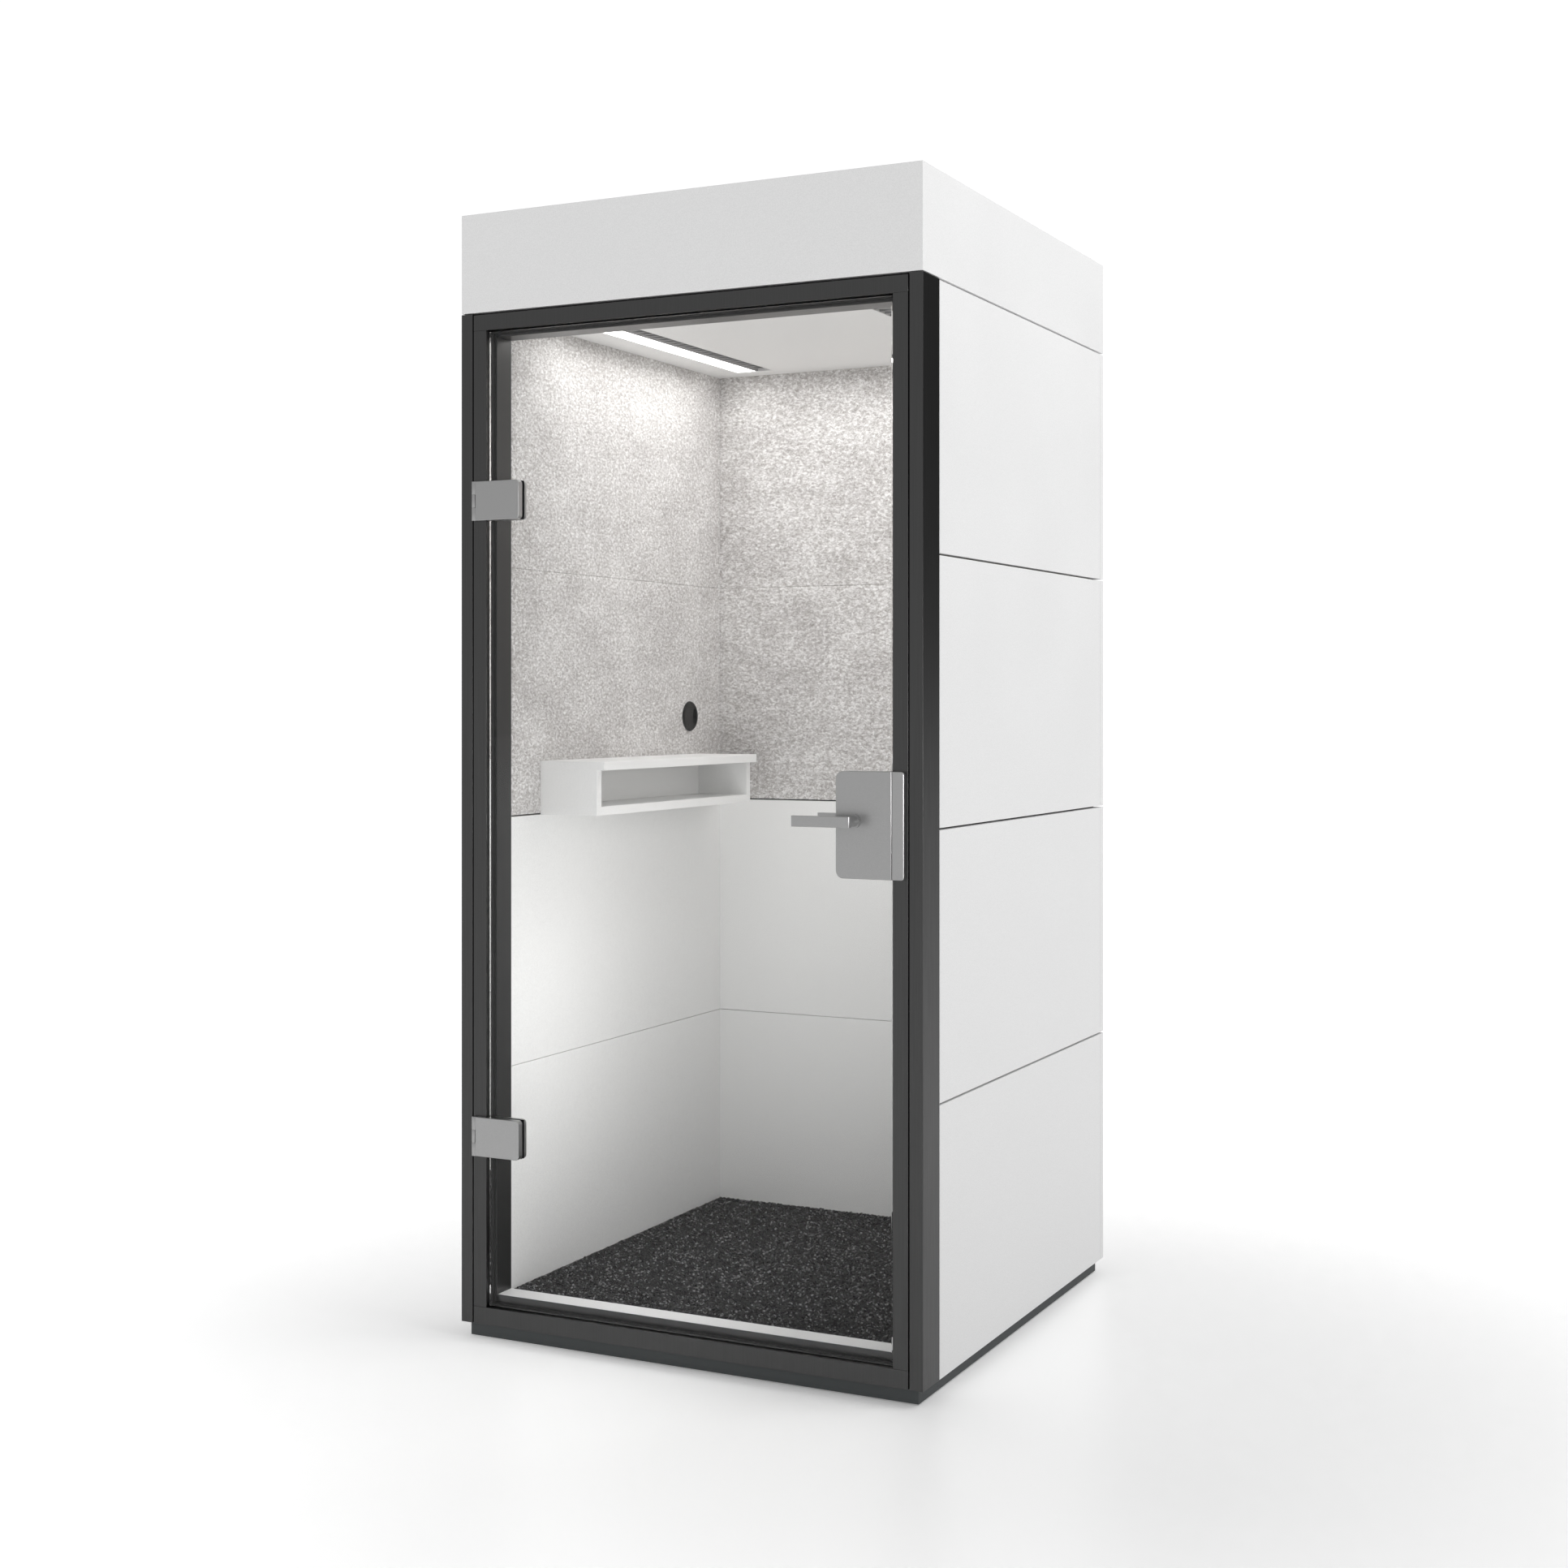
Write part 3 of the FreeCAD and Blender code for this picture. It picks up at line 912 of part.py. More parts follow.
def make_hinge(mark, height):
    """One hinge: frame leaf, pin, front plate, two pads, rear plate and two bolts."""
    low = f"({height} - hinge_tall / 2)"
    high = f"({height} + hinge_tall / 2)"
    third = "(hinge_tall / 3)"
    middle = (f"({low} + {third} + barrel_gap)", f"({high} - {third} - barrel_gap)")
    bore_start = (PIN_X, PIN_Y, f"{low} - 1")
    bore = rod(f"pin_bore_{mark}", "z", bore_start, "pin_radius + running_gap", "hinge_tall + 2")
    clear_of_barrel = f"({PIN_X} + barrel_radius + leaf_gap)"
    web_x = (PIN_X, f"({PIN_X} + barrel_radius + 2 * leaf_gap)")

    leaf_y = (f"({FRONT} - leaf_thick)", FRONT)
    flat = block(f"leaf_flat_{mark}", (clear_of_barrel, f"-({OPENING} + 2)"), leaf_y, (low, high))
    web = block(f"leaf_web_{mark}", web_x, leaf_y, middle)
    barrel_tall = f"{middle[1]} - {middle[0]}"
    barrel = rod(f"leaf_barrel_{mark}", "z", (PIN_X, PIN_Y, middle[0]), "barrel_radius", barrel_tall)
    leaf = cut(f"leaf_{mark}", fuse(f"leaf_all_{mark}", flat, web, barrel), bore)
    pin = rod(f"pin_{mark}", "z", (PIN_X, PIN_Y, low), "pin_radius", "hinge_tall")

    face_y = (f"({FRONT} - plate_proud)", PLATE_REAR)
    step_y = (PLATE_REAR, f"({GLASS_FRONT} - pad_thick)")
    inside = f"-({OPENING} - glass_gap + 1)"
    cover_x = (clear_of_barrel, HINGE_EDGE)
    tall = (low, high)
    pieces = [
        plate(f"cover_{mark}", cover_x, face_y, tall, "plate_corner", "right", "plate_bevel"),
        plate(f"cover_back_{mark}", (inside, HINGE_EDGE), step_y, tall, "plate_corner", "right"),
    ]
    web_y = (f"({FRONT} - plate_proud + plate_bevel)", PLATE_REAR)
    for step, (bottom, top) in enumerate(((low, f"({low} + {third})"), (f"({high} - {third})", high))):
        spot = (PIN_X, PIN_Y, bottom)
        pieces.append(rod(f"knuckle_{mark}_{step}", "z", spot, "barrel_radius", f"{top} - {bottom}"))
        pieces.append(block(f"knuckle_web_{mark}_{step}", web_x, web_y, (bottom, top)))
    thread_start = f"({GLASS_FRONT} - thread_deep)"
    holes = [bore]
    for step, across in enumerate(HINGE_BOLTS):
        spot = (across, f"{thread_start} - 1", height)
        holes.append(rod(f"socket_{mark}_{step}", "y", spot, "bolt_radius + stem_gap", "thread_deep + 1"))
    front = cut(f"hinge_front_{mark}", fuse(f"hinge_all_{mark}", *pieces), *holes)

    pads = []
    pad_faces = ((f"({GLASS_FRONT} - pad_thick)", GLASS_FRONT), (GLASS_REAR, f"({GLASS_REAR} + pad_thick)"))
    for step, y in enumerate(pad_faces):
        pad_x = (f"-({OPENING} - glass_gap - 6)", f"({HINGE_EDGE} - 1)")
        soft = block(f"pad_sheet_{mark}_{step}", pad_x, y, (f"({low} + 1)", f"({high} - 1)"))
        holes = [
            rod(f"pad_hole_{mark}_{step}_{index}", "y", (across, f"{y[0]} - 1", height),
                "bolt_radius + stem_gap", "pad_thick + 2")
            for index, across in enumerate(HINGE_BOLTS)
        ]
        pads.append(cut(f"pad_{mark}_{step}", soft, *holes))

    rear_y = (f"({GLASS_REAR} + pad_thick)", f"({GLASS_REAR} + pad_thick + rear_plate)")
    rear_x = (f"-({CABIN} - lip_gap)", HINGE_EDGE)
    rear = plate(f"rear_{mark}", rear_x, rear_y, tall, "plate_corner", "right", "plate_bevel", at_back)
    holes = []
    bolts = []
    seat_y = f"({rear_y[1]} - head_thick - head_sunk)"
    for step, across in enumerate(HINGE_BOLTS):
        through = (across, f"{rear_y[0]} - 1", height)
        hole_long = "rear_plate + 2"
        holes.append(rod(f"rear_hole_{mark}_{step}", "y", through, "bolt_radius + stem_gap", hole_long))
        seat = (across, seat_y, height)
        holes.append(rod(f"rear_seat_{mark}_{step}", "y", seat, "bolt_head + stem_gap", "head_thick + 1"))
        long = f"({rear_y[1]} - head_sunk - {thread_start})"
        spot = (across, thread_start, height)
        bolts.append(bolt(f"bolt_{mark}_{step}", spot, "bolt_radius", long, "bolt_head", "key_size"))
    return leaf, pin, front, pads, cut(f"hinge_rear_{mark}", rear, *holes), bolts


def make_hinges():
    """Both hinges. Returns their bolts."""
    leaves, pins, fronts, pads, rears, bolts = zip(*(make_hinge(*entry) for entry in HINGE_HEIGHTS.items()))
    node("hinge_frame_leaves", group("hinge_frame_leaves", *leaves))
    node("hinge_pins", group("hinge_pins", *pins))
    node("hinge_front_plates", group("hinge_front_plates", *fronts))
    node("hinge_pads", group("hinge_pads", *pads[0], *pads[1]))
    node("hinge_rear_plates", group("hinge_rear_plates", *rears))
    return [*bolts[0], *bolts[1]]


def make_glass():
    """The frameless glass of the door, drilled for the hinges, the lock and the spindle."""
    edge = f"({OPENING} - glass_gap)"
    pane = block("glass_sheet", both_ways(edge), (GLASS_FRONT, GLASS_REAR), (GLASS_BOTTOM, GLASS_TOP))
    start = f"{GLASS_FRONT} - 1"
    through = "glass_thick + 2"
    holes = [rod("spindle_hole", "y", (SPINDLE_X, start, SPINDLE_Z), "cam_radius", through)]
    for mark, height in HINGE_HEIGHTS.items():
        for step, across in enumerate(HINGE_BOLTS):
            spot = (across, start, height)
            holes.append(rod(f"glass_hole_{mark}_{step}", "y", spot, "glass_hole", through))
    for step, height in enumerate(SCREW_HEIGHTS):
        holes.append(rod(f"lock_hole_{step}", "y", (SCREW_X, start, height), "bolt_radius + 1", through))
    node("door_glass", cut("door_glass", pane, *holes))


LOCK_FRONT = f"({FRONT} - plate_proud)"
LOCK_SEAM = f"({FRONT} - strike_gap)"
LOCK_INNER = f"({OPENING} - glass_gap + 1)"
LOCK_REAR_FACE = f"({GLASS_REAR} + lock_rear_deep)"
BOLT_FRONT = f"({LOCK_FRONT} + latch_skin)"
BOLT_REAR = f"({LOCK_FRONT} + latch_skin + latch_thick)"
LATCH_Z = (f"({SPINDLE_Z} - latch_tall / 2)", f"({SPINDLE_Z} + latch_tall / 2)")


def make_lock():
    """Front and rear covers with their screws, and the keeper on the frame. Returns the screws."""
    cover_x = (LOCK_LEFT, LOCK_RIGHT)
    cover_y = (LOCK_FRONT, LOCK_SEAM)
    cover = plate("lock_cover", cover_x, cover_y, LOCK_Z, "lock_corner", "left", "plate_bevel")
    skirt_y = (LOCK_SEAM, GLASS_FRONT)
    skirt = plate("lock_skirt", (LOCK_LEFT, LOCK_INNER), skirt_y, LOCK_Z, "lock_corner", "left")
    room_z = (f"{LOCK_Z[0]} + 2 * lock_wall", f"{LOCK_Z[1]} - 2 * lock_wall")
    room_x = (f"{LOCK_LEFT} + lock_wall", f"{LOCK_INNER} - lock_wall")
    room = block("lock_room", room_x, (f"{BOLT_FRONT} - leaf_gap", f"{GLASS_FRONT} + 1"), room_z)
    slot_z = (f"{LATCH_Z[0]} - running_gap", f"{LATCH_Z[1]} + running_gap")
    slot_y = (f"{BOLT_FRONT} - running_gap", LOCK_SEAM)
    slot = block("latch_slot", (SPINDLE_X, f"{LOCK_RIGHT} + 1"), slot_y, slot_z)
    hole_start = (SPINDLE_X, f"{LOCK_FRONT} - 1", SPINDLE_Z)
    hole_radius = "spindle_radius + running_gap"
    spindle_hole = rod("front_spindle_hole", "y", hole_start, hole_radius, "plate_proud + glass_setback")
    thread_start = f"({LOCK_FRONT} + lock_wall + 2)"
    posts = []
    threads = []
    for step, height in enumerate(SCREW_HEIGHTS):
        spot = (SCREW_X, f"({LOCK_FRONT} + lock_wall)", height)
        long = f"{GLASS_FRONT} - {spot[1]}"
        posts.append(rod(f"lock_post_{step}", "y", spot, "bolt_radius + lock_wall", long))
        deep = f"{GLASS_FRONT} - {thread_start} + 2"
        spot = (SCREW_X, f"({thread_start} - 1)", height)
        threads.append(rod(f"lock_thread_{step}", "y", spot, "screw_radius + stem_gap", deep))
    shell = cut("lock_shell", fuse("lock_outer", cover, skirt), room)
    front = cut("lock_case_front", fuse("lock_posts", shell, *posts), slot, spindle_hole, *threads)
    node("lock_case_front", front)

    rear_x = (LOCK_LEFT, LOCK_REAR_RIGHT)
    rear_y = (GLASS_REAR, LOCK_REAR_FACE)
    rear = plate("lock_rear_plate", rear_x, rear_y, LOCK_Z, "lock_corner", "left", "plate_bevel", at_back)
    hollow = block(
        "lock_rear_room", (f"{LOCK_LEFT} + 2 * lock_wall", f"{LOCK_REAR_RIGHT} - lock_wall"),
        (f"{GLASS_REAR} - 1", f"{LOCK_REAR_FACE} - lock_wall - 1"),
        (f"{SCREW_HEIGHTS[0]} + 10", f"{SCREW_HEIGHTS[1]} - 10"))
    through = "lock_rear_deep + 2"
    start = f"{GLASS_REAR} - 1"
    holes = [rod("rear_spindle_hole", "y", (SPINDLE_X, start, SPINDLE_Z), hole_radius, through)]
    screws = []
    for step, height in enumerate(SCREW_HEIGHTS):
        spot = (SCREW_X, start, height)
        holes.append(rod(f"lock_through_{step}", "y", spot, "screw_radius + stem_gap", through))
        seat = (SCREW_X, f"({LOCK_REAR_FACE} - head_thick - head_sunk)", height)
        holes.append(rod(f"lock_seat_{step}", "y", seat, "screw_head + stem_gap", "head_thick + 1"))
        long = f"({LOCK_REAR_FACE} - head_sunk - {thread_start})"
        spot = (SCREW_X, thread_start, height)
        screws.append(bolt(f"lock_screw_{step}", spot, "screw_radius", long, "screw_head", "key_small"))
    node("lock_case_rear", cut("lock_case_rear", rear, hollow, *holes))

    left = f"({LOCK_RIGHT} + strike_gap)"
    right = f"({left} + keeper_wide)"
    keeper_y = (LOCK_FRONT, FRONT)
    keeper = plate("keeper_plate", (left, right), keeper_y, LOCK_Z, "keeper_corner", "right", "plate_bevel")
    strike_x = (f"{left} - 1", f"{left} + latch_throw + 2")
    strike_y = (f"{BOLT_FRONT} - soft_gap", f"{BOLT_REAR} + soft_gap")
    strike_z = (f"{LATCH_Z[0]} - leaf_gap", f"{LATCH_Z[1]} + leaf_gap")
    strike = block("strike_pocket", strike_x, strike_y, strike_z)
    node("keeper", cut("keeper", keeper, strike))
    return screws


def make_latch():
    """The latch bolt and the spindle whose cam draws it back."""
    x = (f"({SPINDLE_X} + cam_radius + cam_gap + latch_throw)", f"({LOCK_RIGHT} + latch_throw)")
    node("latch_bolt", block("latch_bolt", x, (BOLT_FRONT, BOLT_REAR), LATCH_Z))
    start = f"({LOCK_FRONT} - rose_thick)"
    long = f"{LOCK_REAR_FACE} + rose_thick - {start}"
    node("lever_spindle", fuse(
        "lever_spindle",
        rod("spindle_rod", "y", (SPINDLE_X, start, SPINDLE_Z), "spindle_radius", long),
        rod("spindle_cam", "y", (SPINDLE_X, BOLT_FRONT, SPINDLE_Z), "cam_radius", "latch_thick"),
    ))


def make_lever(name, way, wall):
    """A lever: bar, neck and rose. Way is -1 for the one that points out of the front, or 1."""
    def out(distance):
        """The place on Y at a distance out of the wall that the lever stands on."""
        return f"({wall} + {way} * ({distance}))"

    reach = "(lever_reach - plate_proud)"
    near = out(f"{reach} - lever_thick")
    far = out(reach)
    bar_y = (far, near) if way < 0 else (near, far)
    tip = f"({SPINDLE_X} - lever_long)"
    heel = f"({SPINDLE_X} + lever_heel)"
    low = f"({SPINDLE_Z} - lever_tall / 2)"
    high = f"({SPINDLE_Z} + lever_tall / 2)"
    bar = profile(f"bar_{name}", "XZ_Plane", [(tip, low), (heel, low), (heel, high), (tip, high)], *bar_y)
    round_edges(bar, "plate_bevel", at_front if way < 0 else at_back, "Chamfer")
    rose_near = out("barrel_gap")
    rose_far = out("barrel_gap + rose_thick")
    neck_long = f"{reach} - lever_thick - barrel_gap - rose_thick"
    neck_start = near if way < 0 else rose_far
    rose_start = rose_far if way < 0 else rose_near
    neck = rod(f"neck_{name}", "y", (SPINDLE_X, neck_start, SPINDLE_Z), "neck_radius", neck_long)
    rose = rod(f"rose_{name}", "y", (SPINDLE_X, rose_start, SPINDLE_Z), "rose_radius", "rose_thick")
    socket_start = out("rose_thick") if way < 0 else out("0")
    socket_spot = (SPINDLE_X, socket_start, SPINDLE_Z)
    socket = rod(f"lever_socket_{name}", "y", socket_spot, "spindle_radius", "rose_thick")
    node(f"lever_{name}", cut(f"lever_{name}", fuse(f"lever_all_{name}", bar, neck, rose), socket))


def check_and_write():
    """Recompute, check every object and write each sub-part's shape."""
    doc.recompute()
    failed = [item.Name for item in doc.Objects if {"Invalid", "Error"} & set(item.State)]
    if failed:
        raise RuntimeError(f"failed objects: {failed}")
    os.makedirs("parts", exist_ok=True)
    for name, item in NODES.items():
        shape = item.Shape
        if shape.isNull() or not shape.isValid() or not shape.Solids:
            raise RuntimeError(f"{name} has no valid solid")
    for name, item in NODES.items():
        item.Shape.exportStep(f"parts/{name}.step")
    print(len(NODES), "nodes")


make_base()
make_front()
make_walls()
make_fixtures()
make_top()
make_shelf()
make_grommet()
make_glass()
node("door_bolts", group("door_bolts", *make_hinges(), *make_lock()))
make_latch()
make_lever("outer", -1, LOCK_FRONT)
make_lever("inner", 1, LOCK_REAR_FACE)
check_and_write()
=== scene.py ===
"""Looks of an indoor acoustic telephone booth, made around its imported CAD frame.

All pieces are in metres in the frame's own axes: X runs across the door, Y from the door to the back
wall, and Z up from the floor. Named sizes are in millimetres where they end in _mm.
"""

import logging
import math
from dataclasses import dataclass
from enum import Enum

import bmesh
import bpy
from mathutils import Matrix, Vector, noise


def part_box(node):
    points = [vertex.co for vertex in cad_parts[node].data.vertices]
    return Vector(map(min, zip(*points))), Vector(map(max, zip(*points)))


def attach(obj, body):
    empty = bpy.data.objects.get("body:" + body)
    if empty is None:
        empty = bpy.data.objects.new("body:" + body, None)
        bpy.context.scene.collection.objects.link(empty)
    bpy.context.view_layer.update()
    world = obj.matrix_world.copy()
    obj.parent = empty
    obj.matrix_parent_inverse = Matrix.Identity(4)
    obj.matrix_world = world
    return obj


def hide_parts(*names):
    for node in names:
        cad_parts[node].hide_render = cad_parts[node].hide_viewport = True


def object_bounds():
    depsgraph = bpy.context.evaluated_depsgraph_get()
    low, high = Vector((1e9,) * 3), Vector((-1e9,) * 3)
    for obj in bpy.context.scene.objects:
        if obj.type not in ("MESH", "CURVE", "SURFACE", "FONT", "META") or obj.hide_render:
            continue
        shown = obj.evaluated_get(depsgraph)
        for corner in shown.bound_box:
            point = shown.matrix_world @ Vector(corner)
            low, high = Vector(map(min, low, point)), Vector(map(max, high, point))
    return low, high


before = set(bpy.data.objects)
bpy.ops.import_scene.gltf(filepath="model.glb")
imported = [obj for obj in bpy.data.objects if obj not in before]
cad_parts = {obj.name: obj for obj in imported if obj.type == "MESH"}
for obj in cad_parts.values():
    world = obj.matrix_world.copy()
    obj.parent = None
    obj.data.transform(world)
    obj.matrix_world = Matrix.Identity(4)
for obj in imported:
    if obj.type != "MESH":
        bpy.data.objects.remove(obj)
CAD_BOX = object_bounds()
LOG = logging.getLogger("booth")
MM = 0.001
MERGE = 0.00001
Point = tuple[float, float, float]
Tree = bpy.types.NodeTree
Node = bpy.types.Node
Socket = bpy.types.NodeSocket
Material = bpy.types.Material
Piece = bpy.types.Object
Shape = bmesh.types.BMesh
# A turn between two faces that is sharper than this, in degrees, stays an edge.
SHARP_TURN = 50.0
# Roundings go on edges that turn more than this, in degrees.
EDGE_TURN = 40.0
# Triangles that turn less than this, in degrees, are one flat face.
FLAT_TURN = 0.5


class Body(Enum):
    """The moving bodies that the made pieces ride on."""

    BOOTH = "booth"
    DOOR = "door"
    LEVER = "lever"
    CAP = "grommet_cap"


# ---------------------------------------------------------------- nodes
def linear(code: str) -> tuple[float, float, float, float]:
    """Turn an sRGB hex value into linear RGBA.

    Args:
        code: Six hex digits, with or without a leading #.

    Returns:
        The linear colour with an alpha of 1.
    """
    digits = code.lstrip("#")
    channels = []
    for start in (0, 2, 4):
        value = int(digits[start:start + 2], 16) / 255
        channels.append(value / 12.92 if value <= 0.04045 else ((value + 0.055) / 1.055) ** 2.4)
    return (*channels, 1.0)


def add_node(tree: Tree, kind: str, settings: dict | None = None, inputs: dict | None = None) -> Node:
    """Add a node, set its properties and fill or link its inputs.

    Args:
        tree: The tree that gets the node.
        kind: The node's type name.
        settings: Properties to set on the node.
        inputs: Values or sockets by input name or number.

    Returns:
        The new node.
    """
    node = tree.nodes.new(kind)
    for name, value in (settings or {}).items():
        setattr(node, name, value)
    for key, value in (inputs or {}).items():
        if isinstance(value, Socket):
            tree.links.new(value, node.inputs[key])
        else:
            node.inputs[key].default_value = value
    return node


def scale_for(size_mm: float) -> float:
    """Return the texture scale that draws features of this size."""
    return 1 / (size_mm * MM)


# ---------------------------------------------------------------- finishes
@dataclass(frozen=True)
class Finish:
    """A material that one dressing makes from a tone and a roughness."""

    name: str
    tone: str
    roughness: float = 0.5
    metallic: float = 0.0

    def make(self) -> Material:
        """Build the material.

        Returns:
            The finished material, with its patterns on Object coordinates.
        """
        material = bpy.data.materials.new(self.name)
        material.use_nodes = True
        tree = material.node_tree
        tree.nodes.clear()
        place = add_node(tree, "ShaderNodeTexCoord").outputs["Object"]
        shader = add_node(tree, "ShaderNodeBsdfPrincipled", None, {
            "Base Color": linear(self.tone), "Roughness": self.roughness, "Metallic": self.metallic})
        ends = {"Surface": self.dress(tree, shader, place), **self.fill(tree)}
        add_node(tree, "ShaderNodeOutputMaterial", None, ends)
        material.diffuse_color = linear(self.tone)
        return material

    def dress(self, tree: Tree, shader: Node, place: Socket) -> Socket:
        """Leave the shader plain and return its output."""
        return shader.outputs["BSDF"]

    def fill(self, tree: Tree) -> dict[str, Socket]:
        """Return nothing to fill the solid with."""
        return {}

    def noise(
            self, tree: Tree, place: Socket, size_mm: float, detail: float = 3, roughness: float = 0.5,
            distortion: float = 0) -> Socket:
        """Add a noise pattern.

        Args:
            tree: The material's tree.
            place: The coordinate socket.
            size_mm: Size of the largest features.
            detail: Octaves of finer noise.
            roughness: Strength of the finer octaves.
            distortion: How far the pattern is pulled about.

        Returns:
            The socket with values round 0.5.
        """
        made = add_node(tree, "ShaderNodeTexNoise", {"noise_dimensions": "3D"}, {
            "Vector": place, "Scale": scale_for(size_mm), "Detail": detail, "Roughness": roughness,
            "Distortion": distortion})
        return made.outputs["Fac"]

    def between(
            self, tree: Tree, value: Socket, low: float, high: float, out_low: float,
            out_high: float) -> Socket:
        """Map a value's range onto another, clamped, and return its socket."""
        made = add_node(tree, "ShaderNodeMapRange", {"clamp": True}, {
            "Value": value, "From Min": low, "From Max": high, "To Min": out_low, "To Max": out_high})
        return made.outputs["Result"]

    def tint(self, tree: Tree, share: Socket, first: Socket | tuple, second: Socket | tuple) -> Socket:
        """Mix two colours or sockets by a share and return the colour socket."""
        made = add_node(tree, "ShaderNodeMix", {"data_type": "RGBA"}, {0: share, 6: first, 7: second})
        return made.outputs[2]

    def bump(self, tree: Tree, shader: Node, height: Socket, strength: float, depth_mm: float) -> None:
        """Give the shader a bump from a height socket, with its real depth in millimetres."""
        made = add_node(tree, "ShaderNodeBump", None, {
            "Height": height, "Strength": strength, "Distance": depth_mm * MM})
        tree.links.new(made.outputs["Normal"], shader.inputs["Normal"])


@dataclass(frozen=True)
class Laminate(Finish):
    """Satin laminate or lacquer on board: an even tone with a fine pebbled grain."""

    grain_mm: float = 1.6
    shade: str = "#dededc"
    cloud_mm: float = 240
    depth_mm: float = 0.05

    def dress(self, tree: Tree, shader: Node, place: Socket) -> Socket:
        """Add the grain's tone and bump, and a faint cloud in the gloss.

        Args:
            tree: The material's tree.
            shader: Its main shader.
            place: Its coordinate socket.

        Returns:
            The surface socket.
        """
        grain = self.noise(tree, place, self.grain_mm, 2, 0.6)
        share = self.between(tree, grain, 0.35, 0.65, 0, 1)
        tone = self.tint(tree, share, linear(self.shade), linear(self.tone))
        tree.links.new(tone, shader.inputs["Base Color"])
        cloud = self.noise(tree, place, self.cloud_mm, 2)
        gloss = self.between(tree, cloud, 0.3, 0.7, self.roughness - 0.04, self.roughness + 0.05)
        tree.links.new(gloss, shader.inputs["Roughness"])
        self.bump(tree, shader, grain, 0.35, self.depth_mm)
        return shader.outputs["BSDF"]


class Grain(Enum):
    """The way that a metal's fine lines run, as a stretch of the pattern on each axis."""

    ALONG_Z = (1.0, 1.0, 0.01)
    EVEN = (1.0, 1.0, 1.0)


@dataclass(frozen=True)
class Metal(Finish):
    """Extruded or blasted metal: a fine grain that breaks up its reflections."""

    line_mm: float = 0.9
    grain: Grain = Grain.EVEN
    shade: str = "#8a8a8a"
    depth_mm: float = 0.02

    def dress(self, tree: Tree, shader: Node, place: Socket) -> Socket:
        """Add the lines' tone, their spread of gloss, and their bump.

        Args:
            tree: The material's tree.
            shader: Its main shader.
            place: Its coordinate socket.

        Returns:
            The surface socket.
        """
        run = add_node(tree, "ShaderNodeMapping", None, {"Vector": place, "Scale": self.grain.value})
        lines = self.noise(tree, run.outputs["Vector"], self.line_mm, 4, 0.65)
        share = self.between(tree, lines, 0.3, 0.7, 0, 1)
        tone = self.tint(tree, share, linear(self.shade), linear(self.tone))
        tree.links.new(tone, shader.inputs["Base Color"])
        gloss = self.between(tree, lines, 0.3, 0.7, self.roughness + 0.06, self.roughness - 0.06)
        tree.links.new(gloss, shader.inputs["Roughness"])
        self.bump(tree, shader, lines, 0.3, self.depth_mm)
        return shader.outputs["BSDF"]


@dataclass(frozen=True)
class Coating(Finish):
    """Powder coat or moulded plastic: one tone with an orange-peel or spark-eroded texture."""

    peel_mm: float = 1.2
    depth_mm: float = 0.04
    coat: float = 0.0

    def dress(self, tree: Tree, shader: Node, place: Socket) -> Socket:
        """Add the peel's bump and the small change of gloss that it brings.

        Args:
            tree: The material's tree.
            shader: Its main shader.
            place: Its coordinate socket.

        Returns:
            The surface socket.
        """
        shader.inputs["Coat Weight"].default_value = self.coat
        peel = self.noise(tree, place, self.peel_mm, 2, 0.5)
        gloss = self.between(tree, peel, 0.3, 0.7, self.roughness - 0.03, self.roughness + 0.05)
        tree.links.new(gloss, shader.inputs["Roughness"])
        self.bump(tree, shader, peel, 0.4, self.depth_mm)
        return shader.outputs["BSDF"]


@dataclass(frozen=True)
class StudioFloor(Coating):
    """White floor paint that glows more with distance, so that the far floor meets the backdrop unseen."""

    near_glow: float = 0.2
    far_glow: float = 0.72
    near_m: float = 0.4
    far_m: float = 2.6
    dimmest: Point = (0.65, -0.35, 0.0)
    # Share of the glow that reflections show.
    mirrored: float = 0.4

    def dress(self, tree: Tree, shader: Node, place: Socket) -> Socket:
        """Add the glow to the paint.

        Args:
            tree: The material's tree.
            shader: Its main shader.
            place: Its coordinate socket.

        Returns:
            The surface socket.
        """
        away = add_node(tree, "ShaderNodeVectorMath", {"operation": "DISTANCE"}, {0: place, 1: self.dimmest})
        glow = add_node(tree, "ShaderNodeMapRange", {"interpolation_type": "SMOOTHSTEP"}, {
            "Value": away.outputs["Value"], "From Min": self.near_m, "From Max": self.far_m,
            "To Min": self.near_glow, "To Max": self.far_glow})
        path = add_node(tree, "ShaderNodeLightPath")
        kept = self.between(tree, path.outputs["Is Glossy Ray"], 0.0, 1.0, 1.0, self.mirrored)
        shown = add_node(tree, "ShaderNodeMath", {"operation": "MULTIPLY"}, {
            0: glow.outputs["Result"], 1: kept})
        tree.links.new(shown.outputs[0], shader.inputs["Emission Strength"])
        shader.inputs["Emission Color"].default_value = linear(self.tone)
        return super().dress(tree, shader, place)


